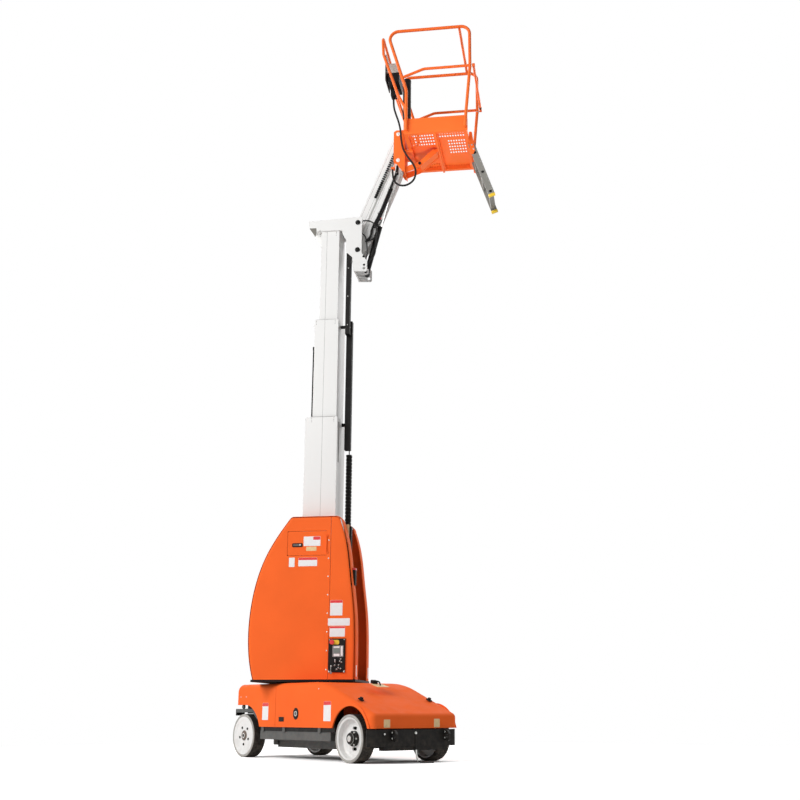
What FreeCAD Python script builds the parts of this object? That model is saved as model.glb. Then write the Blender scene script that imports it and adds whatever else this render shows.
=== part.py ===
import FreeCAD, Part

import math
import os
import re
import types

import Sketcher
from FreeCAD import Placement, Rotation, Vector

# Mast lift: a four-wheel chassis, a turntable with a three-stage telescopic mast, a parallel-arm
# jib at its head and a platform at the jib's end. Millimetres, +X to the chassis nose, +Y to its
# left, +Z up, the floor at zero.

doc = FreeCAD.newDocument("mast_lift")
sheet = doc.addObject("Spreadsheet::Sheet", "sizes")

SIZES = [
    # Where the turntable stands and how it is turned
    ("slew_at_x", -356, "turntable axis, forward of the origin"),
    ("slew_at_y", -344, "turntable axis, left of the origin"),
    ("slew_angle", 42.6, "turn of the upper works from the chassis, degrees"),
    ("jib_angle", 68, "jib above the level, degrees"),
    # Wheels
    ("tyre_dia", 381, "outer diameter of a tyre"),
    ("tyre_width", 127, "width of a tyre"),
    ("band_depth", 24, "rubber on the rim"),
    ("wheel_out", 459, "outer face of a wheel from the middle"),
    ("tail_axle_x", -559, "tail axle from the turntable axis"),
    ("nose_axle_x", 1096, "nose axle from the turntable axis"),
    ("axle_dia", 60, "stub axle"),
    ("bore_clear", 0.1, "running clearance of a stub axle, radial"),
    ("kingpin_y", 296, "kingpin from the middle"),
    ("kingpin_dia", 44, "kingpin"),
    # Chassis covers
    ("cover_half", 450, "half width of the chassis covers"),
    ("cover_low", 270, "lower edge of the chassis covers"),
    ("deck_high", 645, "top of the deck"),
    ("tail_end", -725, "tail of the covers"),
    ("nose_end", 1388, "nose of the covers"),
    ("slope_at", 697, "where the deck's line meets the bonnet's line"),
    ("slope_radius", 960, "bend between the deck and the bonnet"),
    ("nose_over", 1, "front edge of the bonnet above the top of a tyre"),
    ("nose_round", 36, "rounding of the bonnet's front edge"),
    ("cover_wall", 6, "wall of a moulded cover"),
    ("seam_x", -33, "seam between the tail and nose covers"),
    ("seam_gap", 4, "open seam between two covers"),
    ("nose_room", 64.5, "nose wheel arch around the tyre"),
    ("tail_room", 81.5, "tail wheel arch around the tyre, which steers"),
    ("edge_round", 50, "rounding along a cover's side"),
    ("lip_wide", 26, "raised lip around the nose wheel arch"),
    ("lip_proud", 7, "how far the lip stands out"),
    # Chassis frame
    ("rail_out", 432, "outer face of a side rail"),
    ("rail_thick", 70, "side rail, across"),
    ("rail_low", 164, "underside of the side rails"),
    ("rail_high", 240, "top of the side rails"),
    ("skirt_low", 94, "underside of the belly pan"),
    ("bumper_x", 1400, "front face of the bumper"),
    ("bumper_low", 132, "underside of the bumper"),
    ("bumper_high", 262, "top of the bumper"),
    ("bearing_dia", 520, "slewing bearing"),
    ("bearing_low", 600, "underside of the slewing bearing"),
    # Turntable and tower
    ("table_low", 656, "underside of the turntable plate"),
    ("tower_low", 676, "lower edge of the tower covers"),
    ("tower_high", 2145, "top of the tower covers"),
    ("tower_half", 342, "half width of the tower covers"),
    ("recess_half", 205, "half width of the recess between the tower covers"),
    ("strip_x", 145, "seam between side cover and front strip"),
    # Mast
    ("mast_wall", 8, "wall of a mast stage"),
    ("pad_clear", 0.3, "clearance of a slide pad"),
    ("stage_low", 1750, "lower end of the first moving stage"),
    ("stage_long", 1385, "length of a moving stage"),
    ("stage_step", 1000, "lift of one moving stage over the one below, at rest"),
    ("head_low", 5091, "underside of the mast head"),
    # Jib
    ("pin_x", 303, "head pins from the turntable axis"),
    ("pin_high", 5163, "upper head pin"),
    ("pin_space", 297, "upper pin over lower pin"),
    ("jib_long", 1061, "jib, pin to pin"),
    ("pin_dia", 40, "jib pins"),
    ("upper_deep", 100, "depth of the upper arm"),
    ("upper_wide", 96, "width of the upper arm"),
    ("lower_wide", 132, "width of the lower arm"),
    ("foot_x", 372, "jib cylinder's foot pin"),
    ("foot_high", 4665, "jib cylinder's foot pin"),
    ("eye_along", 800, "jib cylinder's eye along the lower arm"),
    # Platform
    ("floor_near", 812, "platform floor, end at the jib"),
    ("floor_far", 1440, "platform floor, end at the ladder"),
    ("floor_half", 400, "half width of the platform floor"),
    ("floor_high", 6005, "top of the platform floor"),
    ("floor_thick", 4, "platform floor sheet"),
    ("toe_low", 5970, "underside of the toe boards"),
    ("toe_high", 6134, "top of the toe boards"),
    ("tube_dia", 32, "guard rail tube"),
    ("rail_rise", 1130, "top rail above the floor, centre line"),
    ("mid_rise", 673, "middle rail above the floor, centre line"),
    ("ladder_half", 185, "half width of the ladder, centre of a stile"),
    ("rung_step", 230, "rung spacing"),
]
ALIASES = [alias for alias, value, note in SIZES]
for row, (alias, value, note) in enumerate(SIZES, start=1):
    sheet.set("A%d" % row, note)
    sheet.set("B%d" % row, str(value))
    sheet.setAlias("B%d" % row, alias)
doc.recompute()
v = types.SimpleNamespace(**{alias: float(sheet.get(alias)) for alias in ALIASES})

X_AXIS, Y_AXIS, Z_AXIS = Vector(1, 0, 0), Vector(0, 1, 0), Vector(0, 0, 1)
LOWER = Placement(Vector(v.slew_at_x, v.slew_at_y, 0), Rotation())
UPPER = Placement(Vector(v.slew_at_x, v.slew_at_y, 0), Rotation(Z_AXIS, v.slew_angle))
RAIL_TOP = v.floor_high + v.rail_rise
RAIL_MID = v.floor_high + v.mid_rise
NOSE_ARCH = v.tyre_dia / 2 + v.nose_room
TAIL_ARCH = v.tyre_dia / 2 + v.tail_room
parts = []


# Helpers
def at(x=0, y=0, z=0, axis=Z_AXIS, turn=0):
    return Placement(Vector(x, y, z), Rotation(axis, turn))


def bind(text):
    """The text of an expression with each size's name pointing at the sheet."""
    return re.sub(r"[a-z][a-z_]*", lambda m: "sizes." + m.group() if m.group() in ALIASES else m.group(), text)


def feature(label, shape, frame):
    part = doc.addObject("Part::Feature", label)
    part.Label = label
    part.Shape = shape
    part.Placement = frame.multiply(shape.Placement)
    parts.append(part)
    return part


def turned(label, outline, frame):
    """A body turned about its own Z axis; the outline is (radius, height) pairs bound to the sheet."""
    body = doc.addObject("PartDesign::Body", label)
    body.Label = label
    sketch = body.newObject("Sketcher::SketchObject", label + "_outline")
    plane = next(item for item in body.Origin.OriginFeatures if item.Role == "XZ_Plane")
    sketch.AttachmentSupport = [(plane, "")]
    sketch.MapMode = "FlatFace"
    count = len(outline)
    ring = [Vector(200 + 90 * math.cos(2 * math.pi * i / count), 100 + 90 * math.sin(2 * math.pi * i / count), 0)
            for i in range(count)]
    for i in range(count):
        sketch.addGeometry(Part.LineSegment(ring[i], ring[(i + 1) % count]))
    for i in range(count):
        sketch.addConstraint(Sketcher.Constraint("Coincident", i, 2, (i + 1) % count, 1))
    for i, point in enumerate(outline):
        for kind, text, value, axis in zip(("DistanceX", "DistanceY"), point, ring[i], (-2, -1)):
            if text == "0":
                sketch.addConstraint(Sketcher.Constraint("PointOnObject", i, 1, axis))
            else:
                index = sketch.addConstraint(Sketcher.Constraint(kind, -1, 1, i, 1, value))
                sketch.setExpression("Constraints[%d]" % index, bind(text))
    turn = body.newObject("PartDesign::Revolution", label + "_turn")
    turn.Profile = sketch
    turn.ReferenceAxis = (sketch, ["V_Axis"])
    turn.Angle = 360
    body.Tip = turn
    body.Placement = frame
    parts.append(body)
    return body


def box(x0, x1, y0, y1, z0, z1):
    return Part.makeBox(x1 - x0, y1 - y0, z1 - z0, Vector(x0, y0, z0))


def rod(start, end, dia):
    start, end = Vector(*start), Vector(*end)
    return Part.makeCylinder(dia / 2, (end - start).Length, start, end - start)


def tube_box(x0, x1, half, z0, z1, wall):
    return box(x0, x1, -half, half, z0, z1).cut(
        box(x0 + wall, x1 - wall, wall - half, half - wall, z0 - 1, z1 + 1))


def fused(shapes):
    return shapes[0].multiFuse(shapes[1:]).removeSplitter()


def rounded(points):
    """A closed wire in the XZ plane through (x, z) or (x, z, radius) corners."""
    count = len(points)
    corners = [Vector(p[0], 0, p[1]) for p in points]
    radii = [p[2] if len(p) > 2 else 0 for p in points]
    spans = []
    for i in range(count):
        here = corners[i]
        back = (corners[i - 1] - here).normalize()
        ahead = (corners[(i + 1) % count] - here).normalize()
        if radii[i] == 0:
            spans.append((here, None, here))
            continue
        half = back.getAngle(ahead) / 2
        reach = radii[i] / math.tan(half)
        middle = (back + ahead).normalize()
        far = radii[i] / math.sin(half) - radii[i]
        spans.append((here + back * reach, here + middle * far, here + ahead * reach))
    edges = []
    for i in range(count):
        first, bend, last = spans[i]
        if bend is not None:
            edges.append(Part.Arc(first, bend, last).toShape())
        following = spans[(i + 1) % count][0]
        if (following - last).Length > 1e-6:
            edges.append(Part.makeLine(last, following))
    return Part.Wire(edges)


def plate(points, y0, y1):
    face = Part.Face(rounded(points))
    shape = face.extrude(Vector(0, y1 - y0, 0))
    shape.translate(Vector(0, y0, 0))
    return shape


def bent_bar(points, dia, bend):
    """A round bar along points, with its corners bent to arcs of at most the given radius."""
    path = [Vector(*p) for p in points]
    edges = []
    last = path[0]
    for i in range(1, len(path) - 1):
        back, ahead = path[i - 1] - path[i], path[i + 1] - path[i]
        shorter = min(back.Length, ahead.Length)
        back.normalize()
        ahead.normalize()
        half = back.getAngle(ahead) / 2
        radius = min(bend, 0.45 * shorter * math.tan(half))
        if bend > 999:
            print("bend radius %.0f of a %.0f cord" % (radius, dia))
        reach = radius / math.tan(half)
        first, end = path[i] + back * reach, path[i] + ahead * reach
        middle = path[i] + (back + ahead).normalize() * (radius / math.sin(half) - radius)
        edges.append(Part.makeLine(last, first))
        edges.append(Part.Arc(first, middle, end).toShape())
        last = end
    edges.append(Part.makeLine(last, path[-1]))
    wire = Part.Wire(edges)
    circle = Part.Wire(Part.makeCircle(dia / 2, path[0], path[1] - path[0]))
    return wire.makePipeShell([circle], True, True)


def side_edges(shape, half, low):
    """The edges of a moulding that lie in its two side planes, above its open foot."""
    found = []
    for edge in shape.Edges:
        ends = [vertex.Point for vertex in edge.Vertexes]
        in_side = all(abs(abs(p.y) - half) < 0.01 for p in ends)
        on_foot = all(p.z < low + 0.01 for p in ends)
        if in_side and not on_foot:
            found.append(edge)
    return found


# Wheels
def wheel_frame(x, side):
    """A wheel's own Z axis runs from its outer face inwards."""
    return LOWER.multiply(at(x, side * v.wheel_out, v.tyre_dia / 2, X_AXIS, 90 * side))


TYRE = [
    ("tyre_dia / 2 - band_depth + pad_clear", "4"),
    ("tyre_dia / 2 - 6", "0"),
    ("tyre_dia / 2", "9"),
    ("tyre_dia / 2", "tyre_width - 9"),
    ("tyre_dia / 2 - 6", "tyre_width"),
    ("tyre_dia / 2 - band_depth + pad_clear", "tyre_width - 4"),
]
NOSE_RIM = [
    ("axle_dia / 2 + bore_clear", "60"),
    ("tyre_dia / 2 - 58.5", "60"),
    ("tyre_dia / 2 - 41.5", "48"),
    ("tyre_dia / 2 - 36.5", "8"),
    ("tyre_dia / 2 - band_depth", "3"),
    ("tyre_dia / 2 - band_depth", "tyre_width - 3"),
    ("tyre_dia / 2 - 36.5", "tyre_width - 6"),
    ("tyre_dia / 2 - 40.5", "72"),
    ("axle_dia / 2 + bore_clear", "70"),
]
TAIL_RIM = [
    ("0", "3"),
    ("20", "3"),
    ("27", "7"),
    ("38", "9"),
    ("40", "14"),
    ("tyre_dia / 2 - 58.5", "14"),
    ("tyre_dia / 2 - 40.5", "6"),
    ("tyre_dia / 2 - band_depth", "3"),
    ("tyre_dia / 2 - band_depth", "tyre_width - 3"),
    ("tyre_dia / 2 - 36.5", "tyre_width - 6"),
    ("tyre_dia / 2 - 40.5", "24"),
    ("axle_dia / 2 + bore_clear", "24"),
    ("axle_dia / 2 + bore_clear", "13"),
    ("0", "13"),
]
NOSE_HUB = [
    ("0", "2"),
    ("34", "2"),
    ("45", "10"),
    ("45", "32"),
    ("60", "36"),
    ("60", "60"),
    ("axle_dia / 2 + bore_clear", "60"),
    ("axle_dia / 2 + bore_clear", "30"),
    ("0", "30"),
]
SLOT_OUT, SLOT_LONG, SLOT_WIDE = 81, 58, 25


def hand_holes():
    """The two round-ended slots through the disc of a nose rim, above and below its hub."""
    pieces = []
    straight = (SLOT_LONG - SLOT_WIDE) / 2
    for y in (-SLOT_OUT, SLOT_OUT):
        pieces.append(box(-straight, straight, y - SLOT_WIDE / 2, y + SLOT_WIDE / 2, 50, 80))
        for x in (-straight, straight):
            pieces.append(rod((x, y, 50), (x, y, 80), SLOT_WIDE))
    return Part.Compound([fused(pieces[:3]), fused(pieces[3:])])


def slotted(blank, label, frame):
    holes = doc.addObject("Part::Feature", label + "_hand_holes")
    holes.Shape = hand_holes()
    holes.Placement = frame
    rim = doc.addObject("Part::Cut", label)
    rim.Label = label
    rim.Base = blank
    rim.Tool = holes
    parts.remove(blank)
    parts.append(rim)


for end, axle_x in (("tail", v.tail_axle_x), ("nose", v.nose_axle_x)):
    for name, side in (("near", -1), ("far", 1)):
        place = wheel_frame(axle_x, side)
        turned("%s_%s_tyre" % (end, name), TYRE, place)
        rim_label = "%s_%s_rim" % (end, name)
        if end == "tail":
            turned(rim_label, TAIL_RIM, place)
        else:
            slotted(turned(rim_label + "_blank", NOSE_RIM, place), rim_label, place)
            turned("%s_%s_hub" % (end, name), NOSE_HUB, place)


# Chassis frame: side rails, belly pan, cross members, the post under the bearing
RAIL_TAIL = v.tail_axle_x + v.tyre_dia / 2 + 66.5
RAIL_NOSE = v.nose_axle_x - v.tyre_dia / 2 - 101.5
SEATS = (RAIL_TAIL + 52, 100, RAIL_NOSE - 154)


def chassis_frame():
    pieces = []
    for side in (-1, 1):
        inner, outer = v.rail_out - v.rail_thick, v.rail_out
        low, high = sorted((side * inner, side * outer))
        pieces.append(box(RAIL_TAIL, RAIL_NOSE, low, high, v.rail_low, v.rail_high))
        low, high = sorted((side * (v.rail_out - 7), side * (v.cover_half - v.cover_wall)))
        for x in SEATS:
            pieces.append(box(x - 20, x + 20, low, high, v.rail_high - 10, v.cover_low + 60))
    pieces.append(box(RAIL_TAIL + 32, RAIL_NOSE - 14, -300, 300, v.skirt_low + 60, v.rail_high))
    pieces.append(box(RAIL_TAIL + 62, RAIL_NOSE - 114, -280, 280, v.skirt_low, v.skirt_low + 60))
    for x in (RAIL_TAIL + 2, RAIL_NOSE - 104):
        pieces.append(box(x, x + 90, -v.rail_out + 5, v.rail_out - 5, v.rail_low + 6, v.rail_high - 6))
    pieces.append(box(v.tail_axle_x - 131, RAIL_TAIL + 42, -100, 100, v.rail_low + 20, v.rail_high + 60))
    pieces.append(box(RAIL_NOSE - 24, v.bumper_x - 12, -190, 190, v.rail_low, v.rail_high + 20))
    pieces.append(Part.makeCylinder(v.bearing_dia / 2 - 40, v.bearing_low - v.rail_high + 1, Vector(0, 0, v.rail_high - 1)))
    return fused(pieces)



# Bumper: a plate with swept ends, a lower lip and two tie-down lugs
def bumper():
    half, thick = 462, 12
    swept = Part.Face(Part.makePolygon([
        Vector(v.bumper_x, -half + 62, 0), Vector(v.bumper_x, half - 62, 0), Vector(v.bumper_x - 62, half, 0),
        Vector(v.bumper_x - 74, half - 4, 0), Vector(v.bumper_x - thick, half - 66, 0),
        Vector(v.bumper_x - thick, -half + 66, 0), Vector(v.bumper_x - 74, -half + 4, 0),
        Vector(v.bumper_x - 62, -half, 0), Vector(v.bumper_x, -half + 62, 0)]))
    face = swept.extrude(Vector(0, 0, v.bumper_high - v.bumper_low))
    face.translate(Vector(0, 0, v.bumper_low))
    pieces = [face, box(v.bumper_x - thick - 60, v.bumper_x - thick + 2, -330, 330, v.skirt_low + 6, v.bumper_low + 20)]
    for y in (-250, 300):
        lug = plate([(v.bumper_x - 4, 180), (v.bumper_x - 4, 258), (v.bumper_x + 34, 258, 10),
                     (v.bumper_x + 62, 226, 8), (v.bumper_x + 62, 180, 14), (v.bumper_x + 40, 166, 8)], y - 11, y + 11)
        eye = rod((v.bumper_x + 36, y - 20, 210), (v.bumper_x + 36, y + 20, 210), 32)
        pieces.append(lug.cut(eye))
    return fused(pieces)


feature("nose_bumper", bumper(), LOWER)


# Axles
def nose_axle():
    middle = v.tyre_dia / 2
    inner = v.wheel_out - v.tyre_width
    pieces = [box(v.nose_axle_x - 70, v.nose_axle_x + 70, -250, 250, 120, 250)]
    for side in (-1, 1):
        pieces.append(rod((v.nose_axle_x, side * 240, middle), (v.nose_axle_x, side * (inner + 30), middle), 150))
        pieces.append(rod((v.nose_axle_x, side * inner, middle), (v.nose_axle_x, side * (v.wheel_out - 31), middle), v.axle_dia))
    return fused(pieces)




def tail_axle():
    """A beam with a boss at each end for the kingpin and a bracket over the wheel."""
    x, y = v.tail_axle_x, v.kingpin_y
    hub, above = v.tyre_dia / 2, v.tyre_dia + 23
    boss_low = hub + 106.5
    pieces = [box(x - 60, x + 60, -200, 200, hub + 109.5, hub + 181.5), box(x - 27, x + 27, -y, y, hub + 113.5, hub + 181.5)]
    for side in (-1, 1):
        pieces.append(rod((x, side * y, boss_low), (x, side * y, above + 16), 60))
        low, high = sorted((side * (y - 26), side * 440))
        pieces.append(box(x - 75, x + 75, low, high, above, above + 16))
    pieces.append(box(x - 50, x + 50, -98, 98, 250, hub + 119.5))
    shape = fused(pieces)
    for side in (-1, 1):
        shape = shape.cut(rod((x, side * y, boss_low - 7), (x, side * y, boss_low + 53), v.kingpin_dia + 2 * v.bore_clear))
    return shape


STEER_X = v.tail_axle_x - 150
STEER_HIGH = 180


def steer_barrel():
    barrel = rod((STEER_X, -95, STEER_HIGH), (STEER_X, 95, STEER_HIGH), 62)
    hanger = [box(STEER_X - 20, STEER_X + 20, -90, 90, STEER_HIGH, 262),
              box(STEER_X - 20, v.tail_axle_x - 50, -90, 90, 252, 262)]
    bore = rod((STEER_X, -100, STEER_HIGH), (STEER_X, 100, STEER_HIGH), 28 + 2 * v.bore_clear)
    return fused([barrel] + hanger).cut(bore)


frame_shape = chassis_frame()
for bolted in (nose_axle(), tail_axle(), steer_barrel()):
    frame_shape = frame_shape.cut(bolted)
feature("chassis_frame", frame_shape, LOWER)
feature("nose_axle", nose_axle(), LOWER)
feature("tail_axle", tail_axle(), LOWER)
feature("steer_barrel", steer_barrel(), LOWER)
feature("steer_rod", rod((STEER_X, -205, STEER_HIGH), (STEER_X, 205, STEER_HIGH), 28), LOWER)


def knuckle(side):
    """Kingpin boss, steering arm and stub axle of one tail wheel, about the kingpin."""
    height = v.tyre_dia / 2
    reach = v.wheel_out - 15
    pieces = [
        Part.makeCylinder(30, height + 105.5 - 124, Vector(0, 0, 124)),
        Part.makeCylinder(v.kingpin_dia / 2, 50, Vector(0, 0, height + 99.5)),
        rod((0, 0, height), (0, side * (reach - v.kingpin_y), height), v.axle_dia),
        box(-150, 0, -20, 20, 126, 146),
    ]
    return fused(pieces)


for name, side in (("near", -1), ("far", 1)):
    feature("tail_%s_knuckle" % name, knuckle(side), LOWER.multiply(at(v.tail_axle_x, side * v.kingpin_y)))


# Chassis covers
def chassis_shell(inset):
    """Outer form of both covers, made smaller by the inset; an inset one runs out through the foot."""
    nose_high = v.tyre_dia + v.nose_over
    foot, top, tail, nose = v.cover_low - 3 * inset, v.deck_high - inset, v.tail_end + inset, v.nose_end - inset
    fall = (v.deck_high - nose_high) / (v.nose_end - v.slope_at)
    shape = plate([(tail, foot), (tail, top, 70), (v.slope_at, top, v.slope_radius), (nose, top - fall * (nose - v.slope_at)),
                   (nose, foot)], inset - v.cover_half, v.cover_half - inset)
    front = [edge for edge in shape.Edges if edge.BoundBox.YLength > v.cover_half and edge.BoundBox.XMin > nose - 1
             and edge.BoundBox.ZMin > v.cover_low + 9]
    shape = shape.makeFillet(v.nose_round - inset, front)
    return shape.makeFillet(v.edge_round - inset, side_edges(shape, v.cover_half - inset, foot))


def arch(x, radius, out):
    return rod((x, -out, v.tyre_dia / 2), (x, out, v.tyre_dia / 2), 2 * radius)


def chassis_covers():
    far_out = v.cover_half + 19
    above_foot = box(v.tail_end - 9, v.nose_end + 9, -far_out, far_out, v.cover_low, v.deck_high + 9)
    lip = arch(v.nose_axle_x, NOSE_ARCH + v.lip_wide, v.cover_half + v.lip_proud).common(above_foot)
    lip = lip.cut(box(v.tail_end, v.nose_end, -v.cover_half + 1, v.cover_half - 1, 0, v.deck_high))
    shell = chassis_shell(0).cut(chassis_shell(v.cover_wall)).fuse(lip).removeSplitter()
    shell = shell.cut(arch(v.nose_axle_x, NOSE_ARCH, far_out))
    shell = shell.cut(arch(v.tail_axle_x, TAIL_ARCH, far_out))
    shell = shell.cut(box(v.tail_end - 9, v.tail_axle_x, -far_out, far_out, 0, TAIL_ARCH + v.tyre_dia / 2 - 2))
    shell = shell.cut(Part.makeCylinder(v.bearing_dia / 2 + 15, 99, Vector(0, 0, v.deck_high - 50)))
    tail = shell.common(box(v.tail_end - 9, v.seam_x - v.seam_gap / 2, -999, 999, 0, 999))
    nose = shell.common(box(v.seam_x + v.seam_gap / 2, v.nose_end + 9, -999, 999, 0, 999))
    return tail, nose


tail_cover, nose_cover = chassis_covers()
feature("tail_cover", tail_cover, LOWER)
feature("nose_cover", nose_cover, LOWER)
ring = Part.makeCylinder(v.bearing_dia / 2, v.table_low - v.pad_clear - v.bearing_low, Vector(0, 0, v.bearing_low))
feature("slewing_bearing", ring, LOWER)
doc.recompute()


# Turntable and tower
table = box(-560, 392, -v.tower_half + 2, v.tower_half - 2, v.table_low, v.tower_low)
feature("turntable_plate", table, UPPER)


# Side view of a tower cover: how far back or forward, and how high as a share of the cover's height
REAR_LINE = [(-552, 0), (-597, 0.1525), (-606, 0.3152), (-586, 0.4697), (-538, 0.6222), (-463, 0.7583), (-357, 0.8843),
             (-250, 0.9877)]
FRONT_LINE = [(250, 0.9578), (292, 0.8632), (344, 0.6133), (379, 0.3989), (388, 0.2342), (389, 0)]
STEEP_ABOVE = 0.7


def cover_line(line, inset, inward):
    """A smooth edge through the line's points, moved inwards by the inset."""
    points = []
    for x, share in line:
        z = v.tower_low + share * (v.tower_high - v.tower_low)
        lowered = 0.7 * inset if share > STEEP_ABOVE else 0
        points.append(Vector(x + inward * inset, 0, z - lowered))
    curve = Part.BSplineCurve()
    curve.interpolate(points)
    return points, curve.toShape()


def tower_face(inset):
    """Side view of a tower cover, made narrower by the inset; an inset one runs out through the foot."""
    high = v.tower_high - inset
    rear_points, rear = cover_line(REAR_LINE, inset, 1)
    front_points, front = cover_line(FRONT_LINE, inset, -1)
    edges = [
        rear,
        Part.Arc(rear_points[-1], Vector(-234 + inset, 0, high - 5), Vector(-212 + inset, 0, high)).toShape(),
        Part.makeLine(Vector(-212 + inset, 0, high), Vector(185 - inset, 0, high)),
        Part.Arc(Vector(185 - inset, 0, high), Vector(228 - inset, 0, high - 17), front_points[0]).toShape(),
        front,
    ]
    foot = [front_points[-1], rear_points[0]]
    if inset:
        below = Vector(0, 0, -3 * inset)
        foot = [foot[0], foot[0] + below, foot[1] + below, foot[1]]
    edges += [Part.makeLine(a, b) for a, b in zip(foot, foot[1:])]
    return Part.Face(Part.Wire(edges))


def tower_shell(side):
    """One hollow cover, open to the middle of the tower."""
    thick = v.tower_half - v.recess_half
    outer = tower_face(0).extrude(Vector(0, thick, 0))
    outer.translate(Vector(0, -v.tower_half, 0))
    rim = [edge for edge in side_edges(outer, v.tower_half, v.tower_low)]
    outer = outer.makeFillet(34, rim)
    inner = tower_face(v.cover_wall).extrude(Vector(0, thick, 0))
    inner.translate(Vector(0, -v.tower_half + v.cover_wall, 0))
    shell = outer.cut(inner)
    if side > 0:
        shell = shell.mirror(Vector(0, 0, 0), Y_AXIS)
    return shell


def split(shell):
    low, high = v.tower_low - 9, v.tower_high + 9
    rear = shell.common(box(-700, v.strip_x - v.seam_gap / 2, -500, 500, low, high))
    front = shell.common(box(v.strip_x + v.seam_gap / 2, 500, -500, 500, low, high))
    return rear, front


near_rear, near_front = split(tower_shell(-1))
far_rear, far_front = split(tower_shell(1))
DOOR = (-262, 106, v.tower_high - 367, v.tower_high - 141)
door_hole = box(DOOR[0], DOOR[1], -v.tower_half - 9, -v.tower_half + v.cover_wall + 3, DOOR[2], DOOR[3])
HINGE_DIA, HINGE_PIN = 9, 5
HINGE_LOW, HINGE_HIGH = DOOR[2] + 21, DOOR[3] - 38
hinge_y = -v.tower_half - HINGE_DIA / 2 - 1.5
knuckle_long = 16


def hinge_rod(low, high, dia):
    return rod((DOOR[1], hinge_y, low), (DOOR[1], hinge_y, high), dia)


fixed_hinge = [hinge_rod(HINGE_LOW, HINGE_HIGH, HINGE_PIN)]
for low in (HINGE_LOW, HINGE_HIGH - knuckle_long):
    fixed_hinge.append(hinge_rod(low, low + knuckle_long, HINGE_DIA))
    fixed_hinge.append(box(DOOR[1] + 1, DOOR[1] + 14, hinge_y - 1, -v.tower_half + 1, low, low + knuckle_long))
feature("near_side_cover", fused([near_rear.cut(door_hole)] + fixed_hinge), UPPER)
feature("far_side_cover", far_rear, UPPER)
feature("front_strips", Part.Compound([near_front, far_front]), UPPER)
door = plate([(DOOR[0] + 3, DOOR[2] + 3, 14), (DOOR[0] + 3, DOOR[3] - 3, 14), (DOOR[1] - v.pad_clear, DOOR[3] - 3),
              (DOOR[1] - v.pad_clear, DOOR[2] + 3)], -v.tower_half, -v.tower_half + 5)
barrel_low, barrel_high = HINGE_LOW + knuckle_long + v.pad_clear, HINGE_HIGH - knuckle_long - v.pad_clear
moving_hinge = [hinge_rod(barrel_low, barrel_high, HINGE_DIA),
                box(DOOR[1] - 13, DOOR[1] - 1, hinge_y - 1, -v.tower_half + 1, barrel_low, barrel_high)]
door = fused([door] + moving_hinge).cut(hinge_rod(barrel_low - 1, barrel_high + 1, HINGE_PIN + 2 * v.bore_clear))
feature("access_door", door, UPPER)

weight = tower_face(14).extrude(Vector(0, 2 * v.recess_half - 2, 0))
weight.translate(Vector(0, 1 - v.recess_half, 0))
weight = weight.common(box(-700, -200, -400, 400, v.tower_low, v.tower_high - 60))
feature("counterweight", weight, UPPER)


panel = box(148, 300, -v.tower_half - 10, -v.tower_half, 736, 1030)
feature("control_panel", panel, UPPER)


# Mast
STAGES = [
    # rear face, front face, half width
    (-192, 162, 193),
    (-170, 143, 174),
    (-108, 128, 152),
    (-70, 113, 130),
]
rear, front, half = STAGES[0]
base = tube_box(rear, front, half, v.tower_low, v.tower_high - 8, v.mast_wall)
feature("mast_base", base, UPPER)
for index in (1, 2, 3):
    rear, front, half = STAGES[index]
    low = v.stage_low + (index - 1) * v.stage_step
    high = low + v.stage_long if index < 3 else v.head_low
    feature("mast_stage_%d" % index, tube_box(rear, front, half, low, high, v.mast_wall), UPPER)


def pads(outer_index, high):
    """Slide pads inside the mouth of one stage, on all four sides of the next."""
    rear, front, half = STAGES[outer_index]
    rear, front, half = rear + v.mast_wall, front - v.mast_wall, half - v.mast_wall
    in_rear, in_front, in_half = STAGES[outer_index + 1]
    in_rear, in_front, in_half = in_rear - v.pad_clear, in_front + v.pad_clear, in_half + v.pad_clear
    low = high - 120
    pieces = []
    for y in (-70, 70):
        pieces.append(box(rear, in_rear, y - 30, y + 30, low, high))
        pieces.append(box(in_front, front, y - 30, y + 30, low, high))
    for y0, y1 in ((-half, -in_half), (in_half, half)):
        pieces.append(box(in_rear + 30, in_front - 30, y0, y1, low, high))
    return Part.Compound(pieces)


feature("slide_pads_base", pads(0, v.tower_high - 8), UPPER)
feature("slide_pads_1", pads(1, v.stage_low + v.stage_long), UPPER)
feature("slide_pads_2", pads(2, v.stage_low + v.stage_step + v.stage_long), UPPER)


# Cable trunking in front of the mast, each run on a track of its own
def channel(x0, x1, y0, y1, z0, z1, wall=3):
    shape = box(x0, x1, y0, y1, z0, z1)
    return shape.cut(box(x0 + wall, x1 - wall, y0 + wall, y1 - wall, z0 - 1, z1 + 1))


stage_1_top = v.stage_low + v.stage_long
stage_2_top = stage_1_top + v.stage_step
front_1, front_2, front_3 = STAGES[1][1], STAGES[2][1], STAGES[3][1]
TRUNK_REAR = 190
trunk_3 = fused([channel(TRUNK_REAR, TRUNK_REAR + 44, -128, -70, stage_2_top - 150, 4900),
                 box(TRUNK_REAR, TRUNK_REAR + 44, -131, -127, 4860, 4900)])
feature("head_trunk", trunk_3, UPPER)
trunk_2 = fused([channel(TRUNK_REAR, 248, -60, -2, 2830, stage_2_top + 4),
                 box(front_2, TRUNK_REAR + 2, -50, -12, stage_2_top - 55, stage_2_top - 35)])
feature("middle_trunk", trunk_2, UPPER)


def link_chain(x, y, low, high):
    """A cable chain: links along a core, each with its own collar."""
    pieces = [box(x - 17, x + 17, y - 14, y + 14, low, high)]
    count = int((high - low) / 36)
    for i in range(count):
        z = low + (i + 0.5) * (high - low) / count
        pieces.append(box(x - 26, x + 26, y - 20, y + 20, z - 11, z + 11))
    return fused(pieces)


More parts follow.
